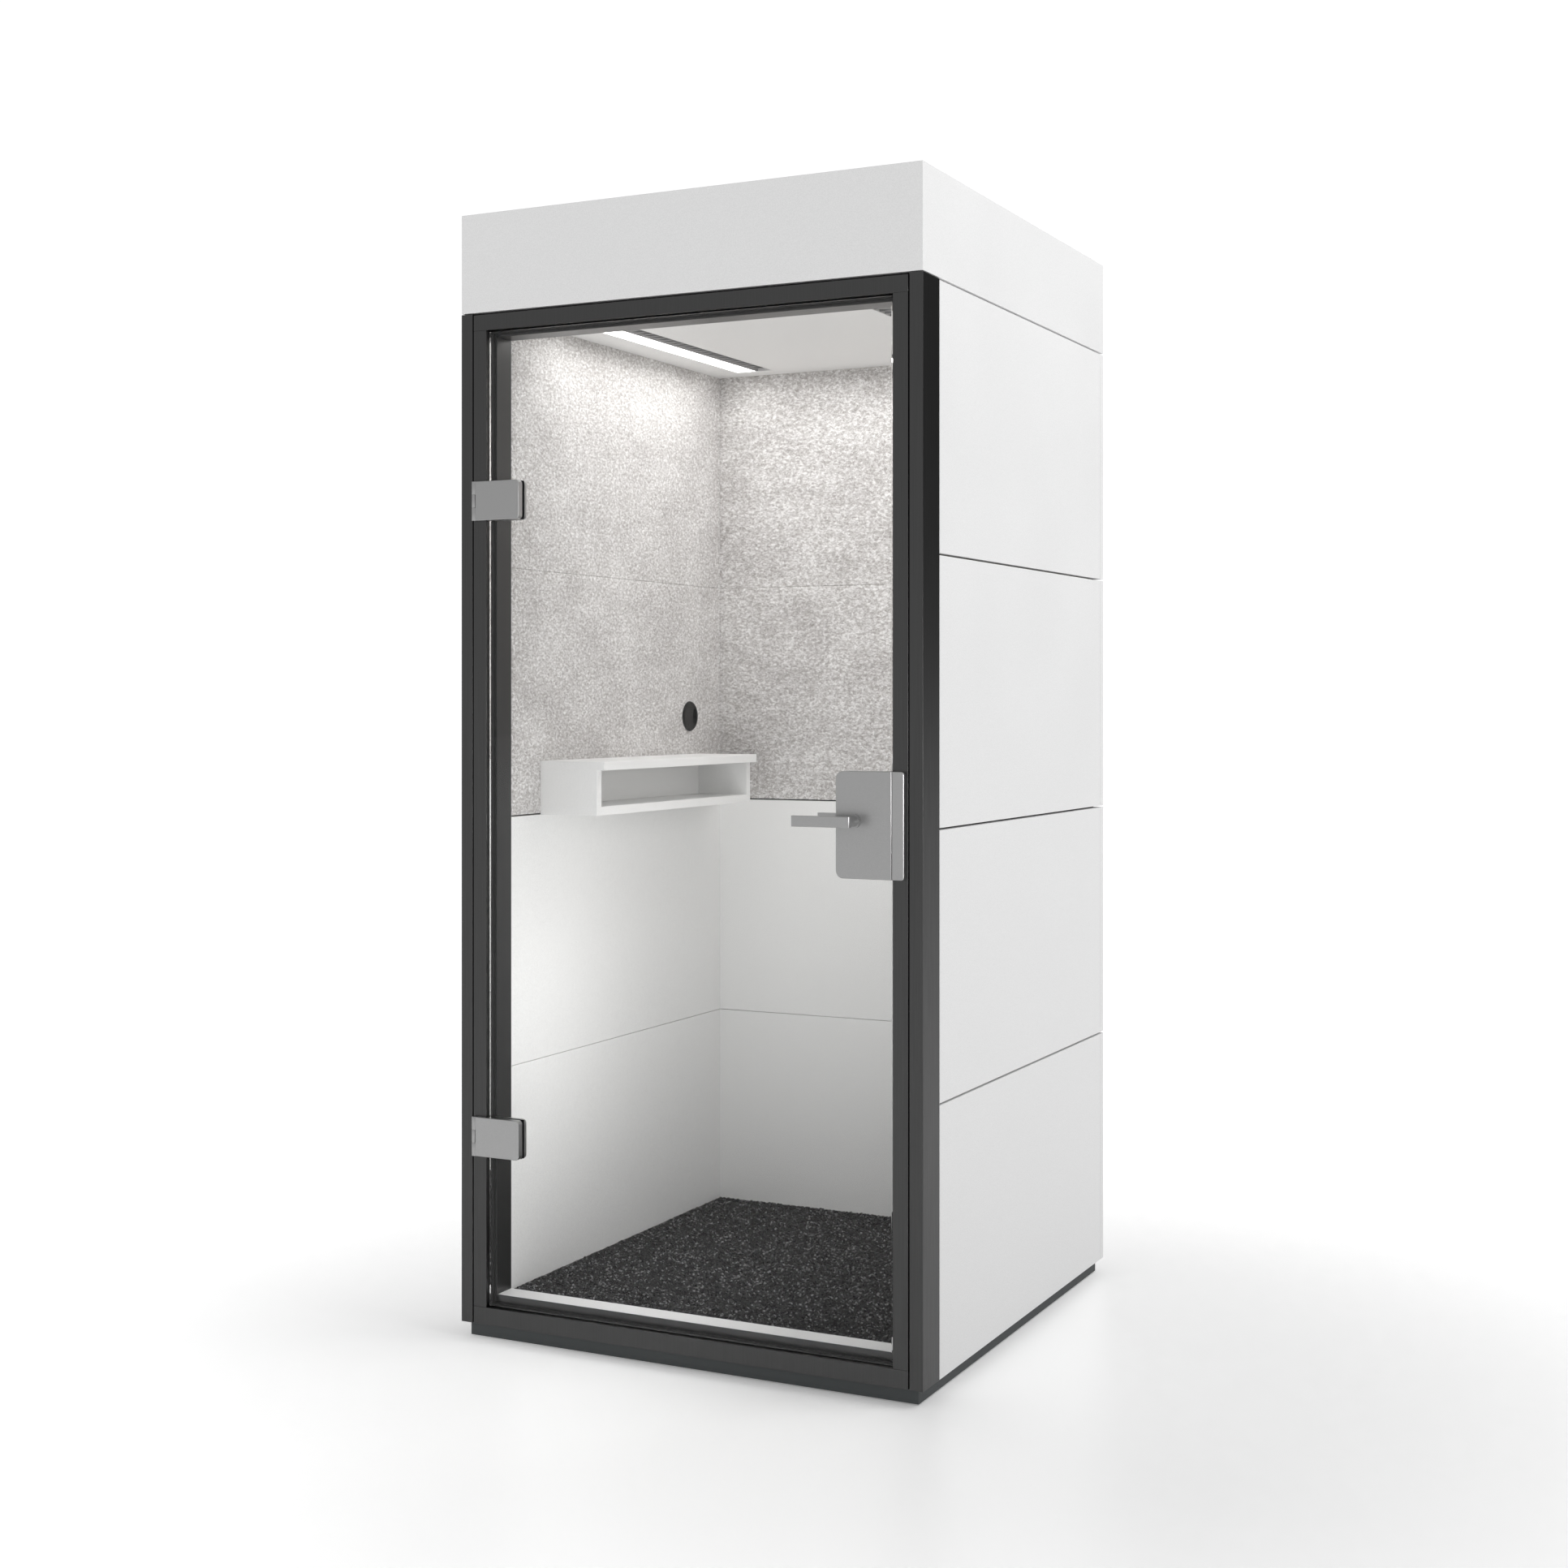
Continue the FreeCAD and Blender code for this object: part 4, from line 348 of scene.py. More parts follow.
@dataclass(frozen=True)
class Felt(Finish):
    """Needled polyester felt: pale fibres with darker ones tangled through them.

    Real fibres are far too fine to show, so the tangle is drawn some 3 mm coarse.
    """

    dark: str = "#77706d"
    middle: str = "#b9b5b2"
    clump_mm: float = 8
    fibre_mm: float = 3.6
    finer: float = 0.55
    fuzz_mm: float = 2.2
    cloud_mm: float = 150
    lying: Point = (1.0, 1.0, 1.6)
    pull_m: float = 0.02

    def dress(self, tree: Tree, shader: Node, place: Socket) -> Socket:
        """Tangle two sets of fibres over clumps of a darker tone, and raise them.

        Args:
            tree: The material's tree.
            shader: Its main shader.
            place: Its coordinate socket.

        Returns:
            The surface socket.
        """
        shader.inputs["Specular IOR Level"].default_value = 0.15
        shader.inputs["Sheen Weight"].default_value = 0.25
        shader.inputs["Sheen Roughness"].default_value = 0.6
        laid = add_node(tree, "ShaderNodeMapping", None, {"Vector": place, "Scale": self.lying})
        place = laid.outputs["Vector"]
        pull = add_node(tree, "ShaderNodeTexNoise", None, {
            "Vector": place, "Scale": scale_for(self.clump_mm), "Detail": 4.0})
        moved = add_node(tree, "ShaderNodeVectorMath", {"operation": "MULTIPLY_ADD"}, {
            0: pull.outputs["Color"], 1: (self.pull_m,) * 3, 2: place})
        clumps = self.noise(tree, place, self.clump_mm, 8, 0.72, 0.6)
        masks = []
        for size in (self.fibre_mm, self.fibre_mm * self.finer):
            cells = add_node(tree, "ShaderNodeTexVoronoi", {"feature": "DISTANCE_TO_EDGE"}, {
                "Vector": moved.outputs["Vector"], "Scale": scale_for(size)})
            masks.append(self.between(tree, cells.outputs["Distance"], 0.02, 0.16, 1, 0))
        both = add_node(tree, "ShaderNodeMath", {"operation": "MAXIMUM"}, {0: masks[0], 1: masks[1]})
        cloud = self.noise(tree, place, self.cloud_mm, 3, 0.6)
        thick = add_node(tree, "ShaderNodeMath", {"operation": "MULTIPLY_ADD"}, {
            0: cloud, 1: 0.5, 2: clumps})
        patches = self.between(tree, thick.outputs[0], 0.6, 0.95, 0.05, 0.82)
        shown = add_node(tree, "ShaderNodeMath", {"operation": "MULTIPLY"}, {0: both.outputs[0], 1: patches})
        share = self.between(tree, clumps, 0.38, 0.62, 0, 1)
        ground = self.tint(tree, share, linear(self.tone), linear(self.middle))
        tone = self.tint(tree, shown.outputs[0], ground, linear(self.dark))
        tree.links.new(tone, shader.inputs["Base Color"])
        fuzz = self.noise(tree, moved.outputs["Vector"], self.fuzz_mm, 4, 0.7)
        self.bump(tree, shader, fuzz, 0.6, 0.5)
        return shader.outputs["BSDF"]


@dataclass(frozen=True)
class Carpet(Finish):
    """Tufted loop carpet: near-black yarn with paler flecks, drawn coarser than yarn so that they show."""

    fleck: str = "#c6c6c6"
    yarn_mm: float = 4.4

    def dress(self, tree: Tree, shader: Node, place: Socket) -> Socket:
        """Give each yarn end its own tone, with a few pale ones, and rough it up.

        Args:
            tree: The material's tree.
            shader: Its main shader.
            place: Its coordinate socket.

        Returns:
            The surface socket.
        """
        shader.inputs["Specular IOR Level"].default_value = 0.08
        yarn = add_node(tree, "ShaderNodeTexVoronoi", None, {
            "Vector": place, "Scale": scale_for(self.yarn_mm)})
        spread = add_node(tree, "ShaderNodeSeparateColor", None, {"Color": yarn.outputs["Color"]})
        body = self.between(tree, spread.outputs["Red"], 0, 1, 0.0, 0.1)
        pale = self.between(tree, spread.outputs["Green"], 0.82, 0.98, 0.0, 0.46)
        share = add_node(tree, "ShaderNodeMath", {"operation": "MAXIMUM"}, {0: body, 1: pale})
        tone = self.tint(tree, share.outputs[0], linear(self.tone), linear(self.fleck))
        tree.links.new(tone, shader.inputs["Base Color"])
        self.bump(tree, shader, yarn.outputs["Distance"], 0.5, 0.8)
        return shader.outputs["BSDF"]


@dataclass(frozen=True)
class Glass(Finish):
    """Toughened clear glass with polished edges. Shadow and diffuse rays pass it unbent.

    Its index is under that of bare glass, as on a pane with a low-reflection coating, so that the floor's
    reflection doesn't veil the cabin.
    """

    index: float = 1.2
    depth_tone: str = "#5f6e68"
    depth_per_m: float = 3.5

    def dress(self, tree: Tree, shader: Node, place: Socket) -> Socket:
        """Mix clear glass with a plain pass for shadow and diffuse rays.

        Args:
            tree: The material's tree.
            shader: Its main shader.
            place: Its coordinate socket. Not used.

        Returns:
            The surface socket.
        """
        shader.inputs["Transmission Weight"].default_value = 1.0
        shader.inputs["IOR"].default_value = self.index
        path = add_node(tree, "ShaderNodeLightPath")
        plain = add_node(tree, "ShaderNodeMath", {"operation": "MAXIMUM"}, {
            0: path.outputs["Is Shadow Ray"], 1: path.outputs["Is Diffuse Ray"]})
        clear = add_node(tree, "ShaderNodeBsdfTransparent", None, {"Color": linear(self.tone)})
        mixed = add_node(tree, "ShaderNodeMixShader", None, {
            0: plain.outputs[0], 1: shader.outputs["BSDF"], 2: clear.outputs["BSDF"]})
        return mixed.outputs["Shader"]

    def fill(self, tree: Tree) -> dict[str, Socket]:
        """Darken light that runs far inside the pane, so that its edges read dark."""
        dark = add_node(tree, "ShaderNodeVolumeAbsorption", None, {
            "Color": linear(self.depth_tone), "Density": self.depth_per_m})
        return {"Volume": dark.outputs["Volume"]}


@dataclass(frozen=True)
class Opal(Finish):
    """Opal acrylic lit from behind: an even, slightly warm glow."""

    glow: float = 14.0
    warm: str = "#fffdf8"
    lamp_mm: float = 120

    def dress(self, tree: Tree, shader: Node, place: Socket) -> Socket:
        """Let the sheet glow, a little less between its lamps.

        Args:
            tree: The material's tree.
            shader: Its main shader.
            place: Its coordinate socket.

        Returns:
            The surface socket.
        """
        lamps = self.noise(tree, place, self.lamp_mm, 1)
        share = self.between(tree, lamps, 0.3, 0.7, 0, 1)
        tone = self.tint(tree, share, linear(self.warm), linear(self.tone))
        tree.links.new(tone, shader.inputs["Emission Color"])
        shader.inputs["Emission Strength"].default_value = self.glow
        return shader.outputs["BSDF"]


@dataclass(frozen=True)
class RawBoard(Finish):
    """Bare chipboard or mineral wool: flakes or fibres in two tones."""

    flake: str = "#c9a878"
    flake_mm: float = 7.0

    def dress(self, tree: Tree, shader: Node, place: Socket) -> Socket:
        """Scatter flakes of the second tone and raise them.

        Args:
            tree: The material's tree.
            shader: Its main shader.
            place: Its coordinate socket.

        Returns:
            The surface socket.
        """
        cells = add_node(tree, "ShaderNodeTexVoronoi", None, {
            "Vector": place, "Scale": scale_for(self.flake_mm)})
        spread = add_node(tree, "ShaderNodeSeparateColor", None, {"Color": cells.outputs["Color"]})
        tone = self.tint(tree, spread.outputs["Red"], linear(self.tone), linear(self.flake))
        tree.links.new(tone, shader.inputs["Base Color"])
        self.bump(tree, shader, spread.outputs["Green"], 0.4, 0.3)
        return shader.outputs["BSDF"]


# Each finish is named for what the real one is, and its comment says what that gives the eye.
FINISHES: dict[str, Finish] = {
    # Pressed laminate: flat white with a fine pebble that softens the highlights.
    "outer_laminate": Laminate("satin_laminate_white", "#f0f0f0", 0.5, 0.0, 1.8, "#e6e6e6"),
    # Sprayed lacquer: the same white, a little smoother.
    "crown_lacquer": Laminate("satin_lacquer_white", "#efefef", 0.46, 0.0, 2.2, "#e7e7e7"),
    # Extruded aluminium, anodised charcoal: long faint die lines and a dull sheen.
    "frame_anodised": Metal(
        "anodised_aluminium_charcoal", "#545454", 0.34, 1.0, 1.1, Grain.ALONG_Z, "#4f4f4f", 0.004),
    # Powder coat on steel: dark grey with an even peel.
    "plinth_paint": Coating("powder_coat_graphite", "#45494a", 0.55, 0.0, 1.4, 0.05),
    # Fibreboard behind the shadow gaps, made black: painted shade, so that the gaps between the white panels
    # read as black lines.
    "carcass_board": RawBoard("fibreboard_painted_shade_black", "#131211", 0.85, 0.0, "#242220", 3.0),
    # Pressed mineral wool between the studs: dull and fibrous.
    "insulation": RawBoard("mineral_wool", "#6d6a5c", 0.95, 0.0, "#8b8672", 3.0),
    # Tufted loop pile: soft, dark and flecked.
    "carpet": Carpet("loop_carpet_charcoal", "#19191a", 0.95),
    # Melamine-faced board: a white like the outside's, more even.
    "lining_white": Laminate("melamine_white", "#f4f4f3", 0.5, 0.0, 2.4, "#ebebea"),
    # Needled felt from polyester fibres: mottled, soft and without a shine.
    "felt": Felt("polyester_felt_grey", "#f1f0ef", 0.92),
    # Milled strip in white: brighter than the carpet behind it.
    "threshold": Coating("powder_coat_white", "#f4f4f4", 0.4, 0.0, 1.2, 0.02),
    # Extruded rubber: black and dull, with a soft edge to its highlight.
    "seal_rubber": Coating("rubber_black", "#161616", 0.62, 0.0, 2.0, 0.03),
    # Float glass, toughened: clear, with dark edges.
    "door_glass": Glass("toughened_glass", "#ffffff", 0.0),
    # Satin stainless steel: an even grey with a fine blasted grain and bright bevels.
    "hardware": Metal("satin_stainless_steel", "#b6b6b6", 0.32, 1.0, 0.9, Grain.EVEN, "#a9a9a9", 0.008),
    # Turned and zinc-plated steel: a cool grey with a cloudy gloss.
    "steel_plain": Metal("zinc_plated_steel", "#a9abad", 0.36, 1.0, 1.5, Grain.EVEN, "#8f9193", 0.01),
    # Laminate on board: a touch glossier than the walls, so that its top catches the light.
    "shelf_white": Laminate("shelf_laminate_white", "#f4f4f3", 0.42, 0.0, 2.0, "#ececeb"),
    # Powder coat on sheet steel: a light grey trim round the lamps.
    "channel_paint": Coating("powder_coat_light_grey", "#e2e2e2", 0.45, 0.0, 1.0, 0.02),
    # Opal acrylic sheet over the lamps: an even white band.
    "diffuser": Opal("opal_acrylic", "#ffffff", 0.4, 0.0, 4.4),
    # Moulded ABS, made grey: painted shade that stands for the shade between the bright fins, so that the
    # fins read against the ceiling.
    "louvre": Coating("abs_painted_shade_grey", "#7f7f7f", 0.5, 0.0, 1.0, 0.02),
    # Glass-filled nylon: black and matt.
    "fan_plastic": Coating("nylon_black", "#1b1b1c", 0.55, 0.0, 1.6, 0.06),
    # Powder coat on wire: black, with a soft highlight along each wire.
    "guard_paint": Coating("powder_coat_black", "#202021", 0.5, 0.0, 0.9, 0.03),
    # Polished ABS: deep black with a hard highlight.
    "grommet_gloss": Coating("abs_black_gloss", "#060606", 0.2, 0.0, 6.0, 0.01, 0.1),
}


class Palette:
    """The record's material slots, each with its finish made once."""

    def __init__(self) -> None:
        """Make every finish."""
        self.slots = {name: node.data.materials[0].name for name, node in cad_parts.items()}
        self.materials = {slot: finish.make() for slot, finish in FINISHES.items()}

    def dress(self, piece: Piece, slot: str) -> None:
        """Give a made piece one material.

        Args:
            piece: The piece.
            slot: The material slot that it takes its finish from.
        """
        piece.data.materials.clear()
        piece.data.materials.append(self.materials[slot])

    def dress_frame(self) -> None:
        """Give every CAD node its slot's finish."""
        for name, slot in self.slots.items():
            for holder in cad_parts[name].material_slots:
                holder.material = self.materials[slot]


# ---------------------------------------------------------------- mesh work
def new_piece(name: str, shape: Shape) -> Piece:
    """Turn a shape into an object at the origin, and free the shape.

    Args:
        name: The object's name.
        shape: Its shape, in metres.

    Returns:
        The piece, without the imported normals.
    """
    mesh = bpy.data.meshes.new(name)
    shape.to_mesh(mesh)
    shape.free()
    stored = mesh.attributes.get("custom_normal")
    if stored:
        mesh.attributes.remove(stored)
    piece = bpy.data.objects.new(name, mesh)
    bpy.context.scene.collection.objects.link(piece)
    return piece


def merged_copy(node: str) -> Shape:
    """Copy a CAD node's shape and weld its triangles into flat faces.

    Args:
        node: The CAD node.

    Returns:
        The copied shape.
    """
    shape = bmesh.new()
    shape.from_mesh(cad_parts[node].data)
    bmesh.ops.remove_doubles(shape, verts=shape.verts, dist=MERGE)
    bmesh.ops.dissolve_limit(
        shape, angle_limit=math.radians(FLAT_TURN), verts=shape.verts, edges=shape.edges)
    return shape


def settle(piece: Piece) -> None:
    """Replace a piece's mesh by what its modifiers make of it, and remove them.

    Args:
        piece: The piece to change.
    """
    graph = bpy.context.evaluated_depsgraph_get()
    made = bpy.data.meshes.new_from_object(
        piece.evaluated_get(graph), preserve_all_data_layers=True, depsgraph=graph)
    piece.modifiers.clear()
    piece.data = made


def shade(piece: Piece, narrow_mm: float = 4.0, level: float = 0.99999) -> None:
    """Shade roundings and curves smooth, and every flat area flat.

    Args:
        piece: The piece to shade.
        narrow_mm: Narrower faces belong to a curve or a rounding, unless a wide face goes on in them.
        level: Least cosine between two faces of one flat area.
    """
    piece.data.set_sharp_from_angle(angle=math.radians(SHARP_TURN))
    shape = bmesh.new()
    shape.from_mesh(piece.data)
    front = [
        face for face in shape.faces
        if face.calc_area() >= narrow_mm * MM * max(edge.calc_length() for edge in face.edges)
    ]
    flat = set(front)
    while front:
        face = front.pop()
        for edge in face.edges:
            for other in edge.link_faces:
                if other not in flat and other.normal.dot(face.normal) > level:
                    flat.add(other)
                    front.append(other)
    for face in shape.faces:
        face.smooth = face not in flat
    shape.to_mesh(piece.data)
    shape.free()


def ease(piece: Piece, width_mm: float, segments: int = 3, clamp: bool = False) -> None:
    """Round a piece's edges and shade it smooth between them.

    Args:
        piece: The piece to change.
        width_mm: How far each rounding reaches from its edge.
        segments: Steps across each rounding.
        clamp: Whether roundings stop short of each other where edges crowd.
    """
    rounding = piece.modifiers.new("ease", "BEVEL")
    rounding.width = width_mm * MM
    rounding.segments = segments
    rounding.limit_method = "ANGLE"
    rounding.angle_limit = math.radians(EDGE_TURN)
    rounding.use_clamp_overlap = clamp
    settle(piece)
    shade(piece)


def joined(name: str, parts: list[Piece]) -> Piece:
    """Join parts into one piece at the origin, and remove them.

    Args:
        name: The joined piece's name.
        parts: The parts.

    Returns:
        The joined piece.
    """
    shape = bmesh.new()
    for part in parts:
        shape.from_mesh(part.data)
        bpy.data.objects.remove(part)
    return new_piece(name, shape)


def box_of(low: Vector, high: Vector) -> Shape:
    """Make a closed box.

    Args:
        low: Its lowest corner in metres.
        high: Its highest corner.

    Returns:
        The box's shape.
    """
    shape = bmesh.new()
    size = high - low
    place = Matrix.Translation((low + high) / 2) @ Matrix.Diagonal((*size, 1))
    bmesh.ops.create_cube(shape, size=1, matrix=place)
    return shape


def lathe(profile: list[tuple[float, float]], steps: int, centre: Point) -> Shape:
    """Turn a closed profile of (radius, height) about an upright axis.

    Args:
        profile: Points in millimetres. A radius of 0 closes on the axis.
        steps: Divisions round the axis.
        centre: The axis's place in metres.

    Returns:
        The turned solid, with its faces outwards.
    """
    shape = bmesh.new()
    rings = []
    for step in range(steps):
        turn = 2 * math.pi * step / steps
        rings.append([
            shape.verts.new((
                centre[0] + radius * MM * math.cos(turn), centre[1] + radius * MM * math.sin(turn),
                centre[2] + height * MM))
            for radius, height in profile
        ])
    count = len(profile)
    for step, ring in enumerate(rings):
        following = rings[(step + 1) % steps]
        for index in range(count):
            other = (index + 1) % count
            if profile[index][0] or profile[other][0]:
                shape.faces.new((ring[index], following[index], following[other], ring[other]))
    bmesh.ops.remove_doubles(shape, verts=shape.verts, dist=MERGE)
    bmesh.ops.recalc_face_normals(shape, faces=shape.faces)
    return shape


# ---------------------------------------------------------------- repeats
class Repeats:
    """Geometry Nodes trees that lay out copies, and the pieces they make."""

    SEED = 7
    # How far a loop strays, as a share of the pitch, and how far it turns and shrinks or grows.
    STRAY = 0.22
    TURNS = (0.6, 0.6, 6.28)
    LEAST = (0.85, 0.7, 0.8)
    MOST = (1.2, 1.0, 1.0)
    RING_STEPS = 48
    WIRE_STEPS = 8

    @staticmethod
    def start(name: str, inputs: dict[str, str]) -> tuple[Tree, bpy.types.NodeOutputs, dict[str, str]]:
        """Begin a tree.

        Args:
            name: The tree's name.
            inputs: Socket types by input name.

        Returns:
            The tree, its inputs' sockets, and each input's identifier by name.
        """
        tree = bpy.data.node_groups.new(name, "GeometryNodeTree")
        named = {
            label: tree.interface.new_socket(label, in_out="INPUT", socket_type=kind).identifier
            for label, kind in inputs.items()
        }
        tree.interface.new_socket("Geometry", in_out="OUTPUT", socket_type="NodeSocketGeometry")
        return tree, add_node(tree, "NodeGroupInput").outputs, named

    @staticmethod
    def end(tree: Tree, geometry: Socket, material: Socket) -> None:
        """End a tree in Realize Instances and Set Material.

        Args:
            tree: The tree.
            geometry: The socket with the copies.
            material: The socket with their material.
        """
        real = add_node(tree, "GeometryNodeRealizeInstances", None, {"Geometry": geometry})
        dressed = add_node(tree, "GeometryNodeSetMaterial", None, {
            "Geometry": real.outputs["Geometry"], "Material": material})
        add_node(tree, "NodeGroupOutput", None, {"Geometry": dressed.outputs["Geometry"]})

    @staticmethod
    def run(name: str, tree: Tree, named: dict[str, str], values: dict) -> Piece:
        """Run a tree on an empty mesh and keep its result as a plain mesh.

        Args:
            name: The new piece's name.
            tree: The tree to run.
            named: Each input's identifier by name.
            values: Each input's value by name.

        Returns:
            The piece.
        """
        piece = new_piece(name, bmesh.new())
        modifier = piece.modifiers.new("copies", "NODES")
        modifier.node_group = tree
        for label, value in values.items():
            modifier[named[label]] = value
        settle(piece)
        return piece

    @classmethod
    def row(
            cls, name: str, part: Piece, start: Point, step: Point, count: int, material: Material) -> Piece:
        """Lay copies of a part in a straight row.

        Args:
            name: The new piece's name.
            part: The part that is copied, made at the origin.
            start: The first copy's place.
            step: The way from one copy to the next.
            count: How many copies.
            material: The copies' material.

        Returns:
            The piece.
        """
        tree, given, named = cls.start(name + "_row", {
            "Start": "NodeSocketVector", "Step": "NodeSocketVector", "Count": "NodeSocketInt",
            "Part": "NodeSocketObject", "Material": "NodeSocketMaterial"})
        line = add_node(tree, "GeometryNodeMeshLine", None, {
            "Count": given["Count"], "Start Location": given["Start"], "Offset": given["Step"]})
        copied = add_node(tree, "GeometryNodeObjectInfo", None, {"Object": given["Part"]})
        laid = add_node(tree, "GeometryNodeInstanceOnPoints", None, {
            "Points": line.outputs["Mesh"], "Instance": copied.outputs["Geometry"]})
        cls.end(tree, laid.outputs["Instances"], given["Material"])
        return cls.run(name, tree, named, {
            "Start": start, "Step": step, "Count": count, "Part": part, "Material": material})

    @classmethod
    def pile(
            cls, name: str, size: tuple[float, float], pitch: float, radius: float, centre: Point,
            material: Material) -> Piece:
        """Lay jostled loops over a rectangle.

        Args:
            name: The new piece's name.
            size: The rectangle's width and depth.
            pitch: Distance between loops.
            radius: A loop's radius.
            centre: The middle of the loops.
            material: The loops' material.

        Returns:
            The piece.
        """
        tree, given, named = cls.start(name + "_pile", {
            "Width": "NodeSocketFloat", "Depth": "NodeSocketFloat", "Across": "NodeSocketInt",
            "Along": "NodeSocketInt", "Radius": "NodeSocketFloat", "Jostle": "NodeSocketVector",
            "Centre": "NodeSocketVector", "Seed": "NodeSocketInt", "Material": "NodeSocketMaterial"})
        grid = add_node(tree, "GeometryNodeMeshGrid", None, {
            "Size X": given["Width"], "Size Y": given["Depth"], "Vertices X": given["Across"],
            "Vertices Y": given["Along"]})
        back = add_node(tree, "ShaderNodeVectorMath", {"operation": "SCALE"}, {
            0: given["Jostle"], "Scale": -1.0})
        shift = add_node(tree, "FunctionNodeRandomValue", {"data_type": "FLOAT_VECTOR"}, {
            0: back.outputs[0], 1: given["Jostle"], "Seed": given["Seed"]})
        moved = add_node(tree, "GeometryNodeSetPosition", None, {
            "Geometry": grid.outputs["Mesh"], "Offset": shift.outputs[0]})
        loop = add_node(tree, "GeometryNodeMeshIcoSphere", None, {
            "Radius": given["Radius"], "Subdivisions": 1})
        turn = add_node(tree, "FunctionNodeRandomValue", {"data_type": "FLOAT_VECTOR"}, {
            0: (0.0, 0.0, 0.0), 1: cls.TURNS, "Seed": given["Seed"]})
        grow = add_node(tree, "FunctionNodeRandomValue", {"data_type": "FLOAT_VECTOR"}, {
            0: cls.LEAST, 1: cls.MOST, "Seed": given["Seed"]})
        laid = add_node(tree, "GeometryNodeInstanceOnPoints", None, {
            "Points": moved.outputs["Geometry"], "Instance": loop.outputs["Mesh"],
            "Rotation": turn.outputs[0], "Scale": grow.outputs[0]})
        placed = add_node(tree, "GeometryNodeTransform", None, {
            "Geometry": laid.outputs["Instances"], "Translation": given["Centre"]})
        cls.end(tree, placed.outputs["Geometry"], given["Material"])
        jostle = pitch * cls.STRAY
        return cls.run(name, tree, named, {
            "Width": size[0], "Depth": size[1], "Across": round(size[0] / pitch) + 1,
            "Along": round(size[1] / pitch) + 1, "Radius": radius, "Jostle": (jostle, jostle, jostle / 4),
            "Centre": centre, "Seed": cls.SEED, "Material": material})

    @classmethod
    def rings(
            cls, name: str, centre: Point, first: float, pitch: float, count: int, wire: float,
            material: Material) -> Piece:
        """Lay round wires about one centre.

        Args:
            name: The new piece's name.
            centre: The rings' centre.
            first: The innermost ring's radius.
            pitch: Distance between rings.
            count: How many rings.
            wire: The wire's radius.
            material: The wire's material.

        Returns:
            The piece.
        """
        tree, given, named = cls.start(name + "_rings", {
            "Centre": "NodeSocketVector", "First": "NodeSocketFloat", "Pitch": "NodeSocketFloat",
            "Count": "NodeSocketInt", "Wire": "NodeSocketFloat", "Material": "NodeSocketMaterial"})
        spots = add_node(tree, "GeometryNodeMeshLine", None, {
            "Count": given["Count"], "Start Location": given["Centre"], "Offset": (0.0, 0.0, 0.0)})
        number = add_node(tree, "GeometryNodeInputIndex")
        size = add_node(tree, "ShaderNodeMath", {"operation": "MULTIPLY_ADD"}, {
            0: number.outputs["Index"], 1: given["Pitch"], 2: given["First"]})
        circle = add_node(tree, "GeometryNodeCurvePrimitiveCircle", None, {
            "Resolution": cls.RING_STEPS, "Radius": 1.0})
        laid = add_node(tree, "GeometryNodeInstanceOnPoints", None, {
            "Points": spots.outputs["Mesh"], "Instance": circle.outputs["Curve"], "Scale": size.outputs[0]})
        real = add_node(tree, "GeometryNodeRealizeInstances", None, {"Geometry": laid.outputs["Instances"]})
        section = add_node(tree, "GeometryNodeCurvePrimitiveCircle", None, {
            "Resolution": cls.WIRE_STEPS, "Radius": given["Wire"]})
        wires = add_node(tree, "GeometryNodeCurveToMesh", None, {
            "Curve": real.outputs["Geometry"], "Profile Curve": section.outputs["Curve"]})
        cls.end(tree, wires.outputs["Mesh"], given["Material"])
        return cls.run(name, tree, named, {
            "Centre": centre, "First": first, "Pitch": pitch, "Count": count, "Wire": wire,
            "Material": material})


# ---------------------------------------------------------------- sub-assemblies
@dataclass
class SubAssembly:
    """A group of pieces that are made and dressed together."""

    palette: Palette

    def keep(self, piece: Piece, body: Body, slot: str, *nodes: str) -> None:
        """Dress a piece, let it ride on a body, and let it stand for CAD nodes.

        Args:
            piece: The finished piece.
            body: The body that it moves with.
            slot: The material slot that it takes its finish from.
            nodes: The CAD nodes that it replaces.
        """
        self.palette.dress(piece, slot)
        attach(piece, body.value)
        if nodes:
            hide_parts(*nodes)
        LOG.info("%s: %d faces on %s", piece.name, len(piece.data.polygons), body.value)

    def eased(
            self, node: str, body: Body, width_mm: float, segments: int = 3, clamp: bool = False) -> Piece:
        """Replace a CAD node by the same shape with its edges rounded.

        Args:
            node: The CAD node.
            body: The body that it rides on.
            width_mm: How far each rounding reaches.
            segments: Steps across each rounding.
            clamp: Whether roundings stop short of each other where edges crowd.

        Returns:
            The piece.
        """
        piece = new_piece(node + "_eased", merged_copy(node))
        ease(piece, width_mm, segments, clamp)
        self.keep(piece, body, self.palette.slots[node], node)
        return piece


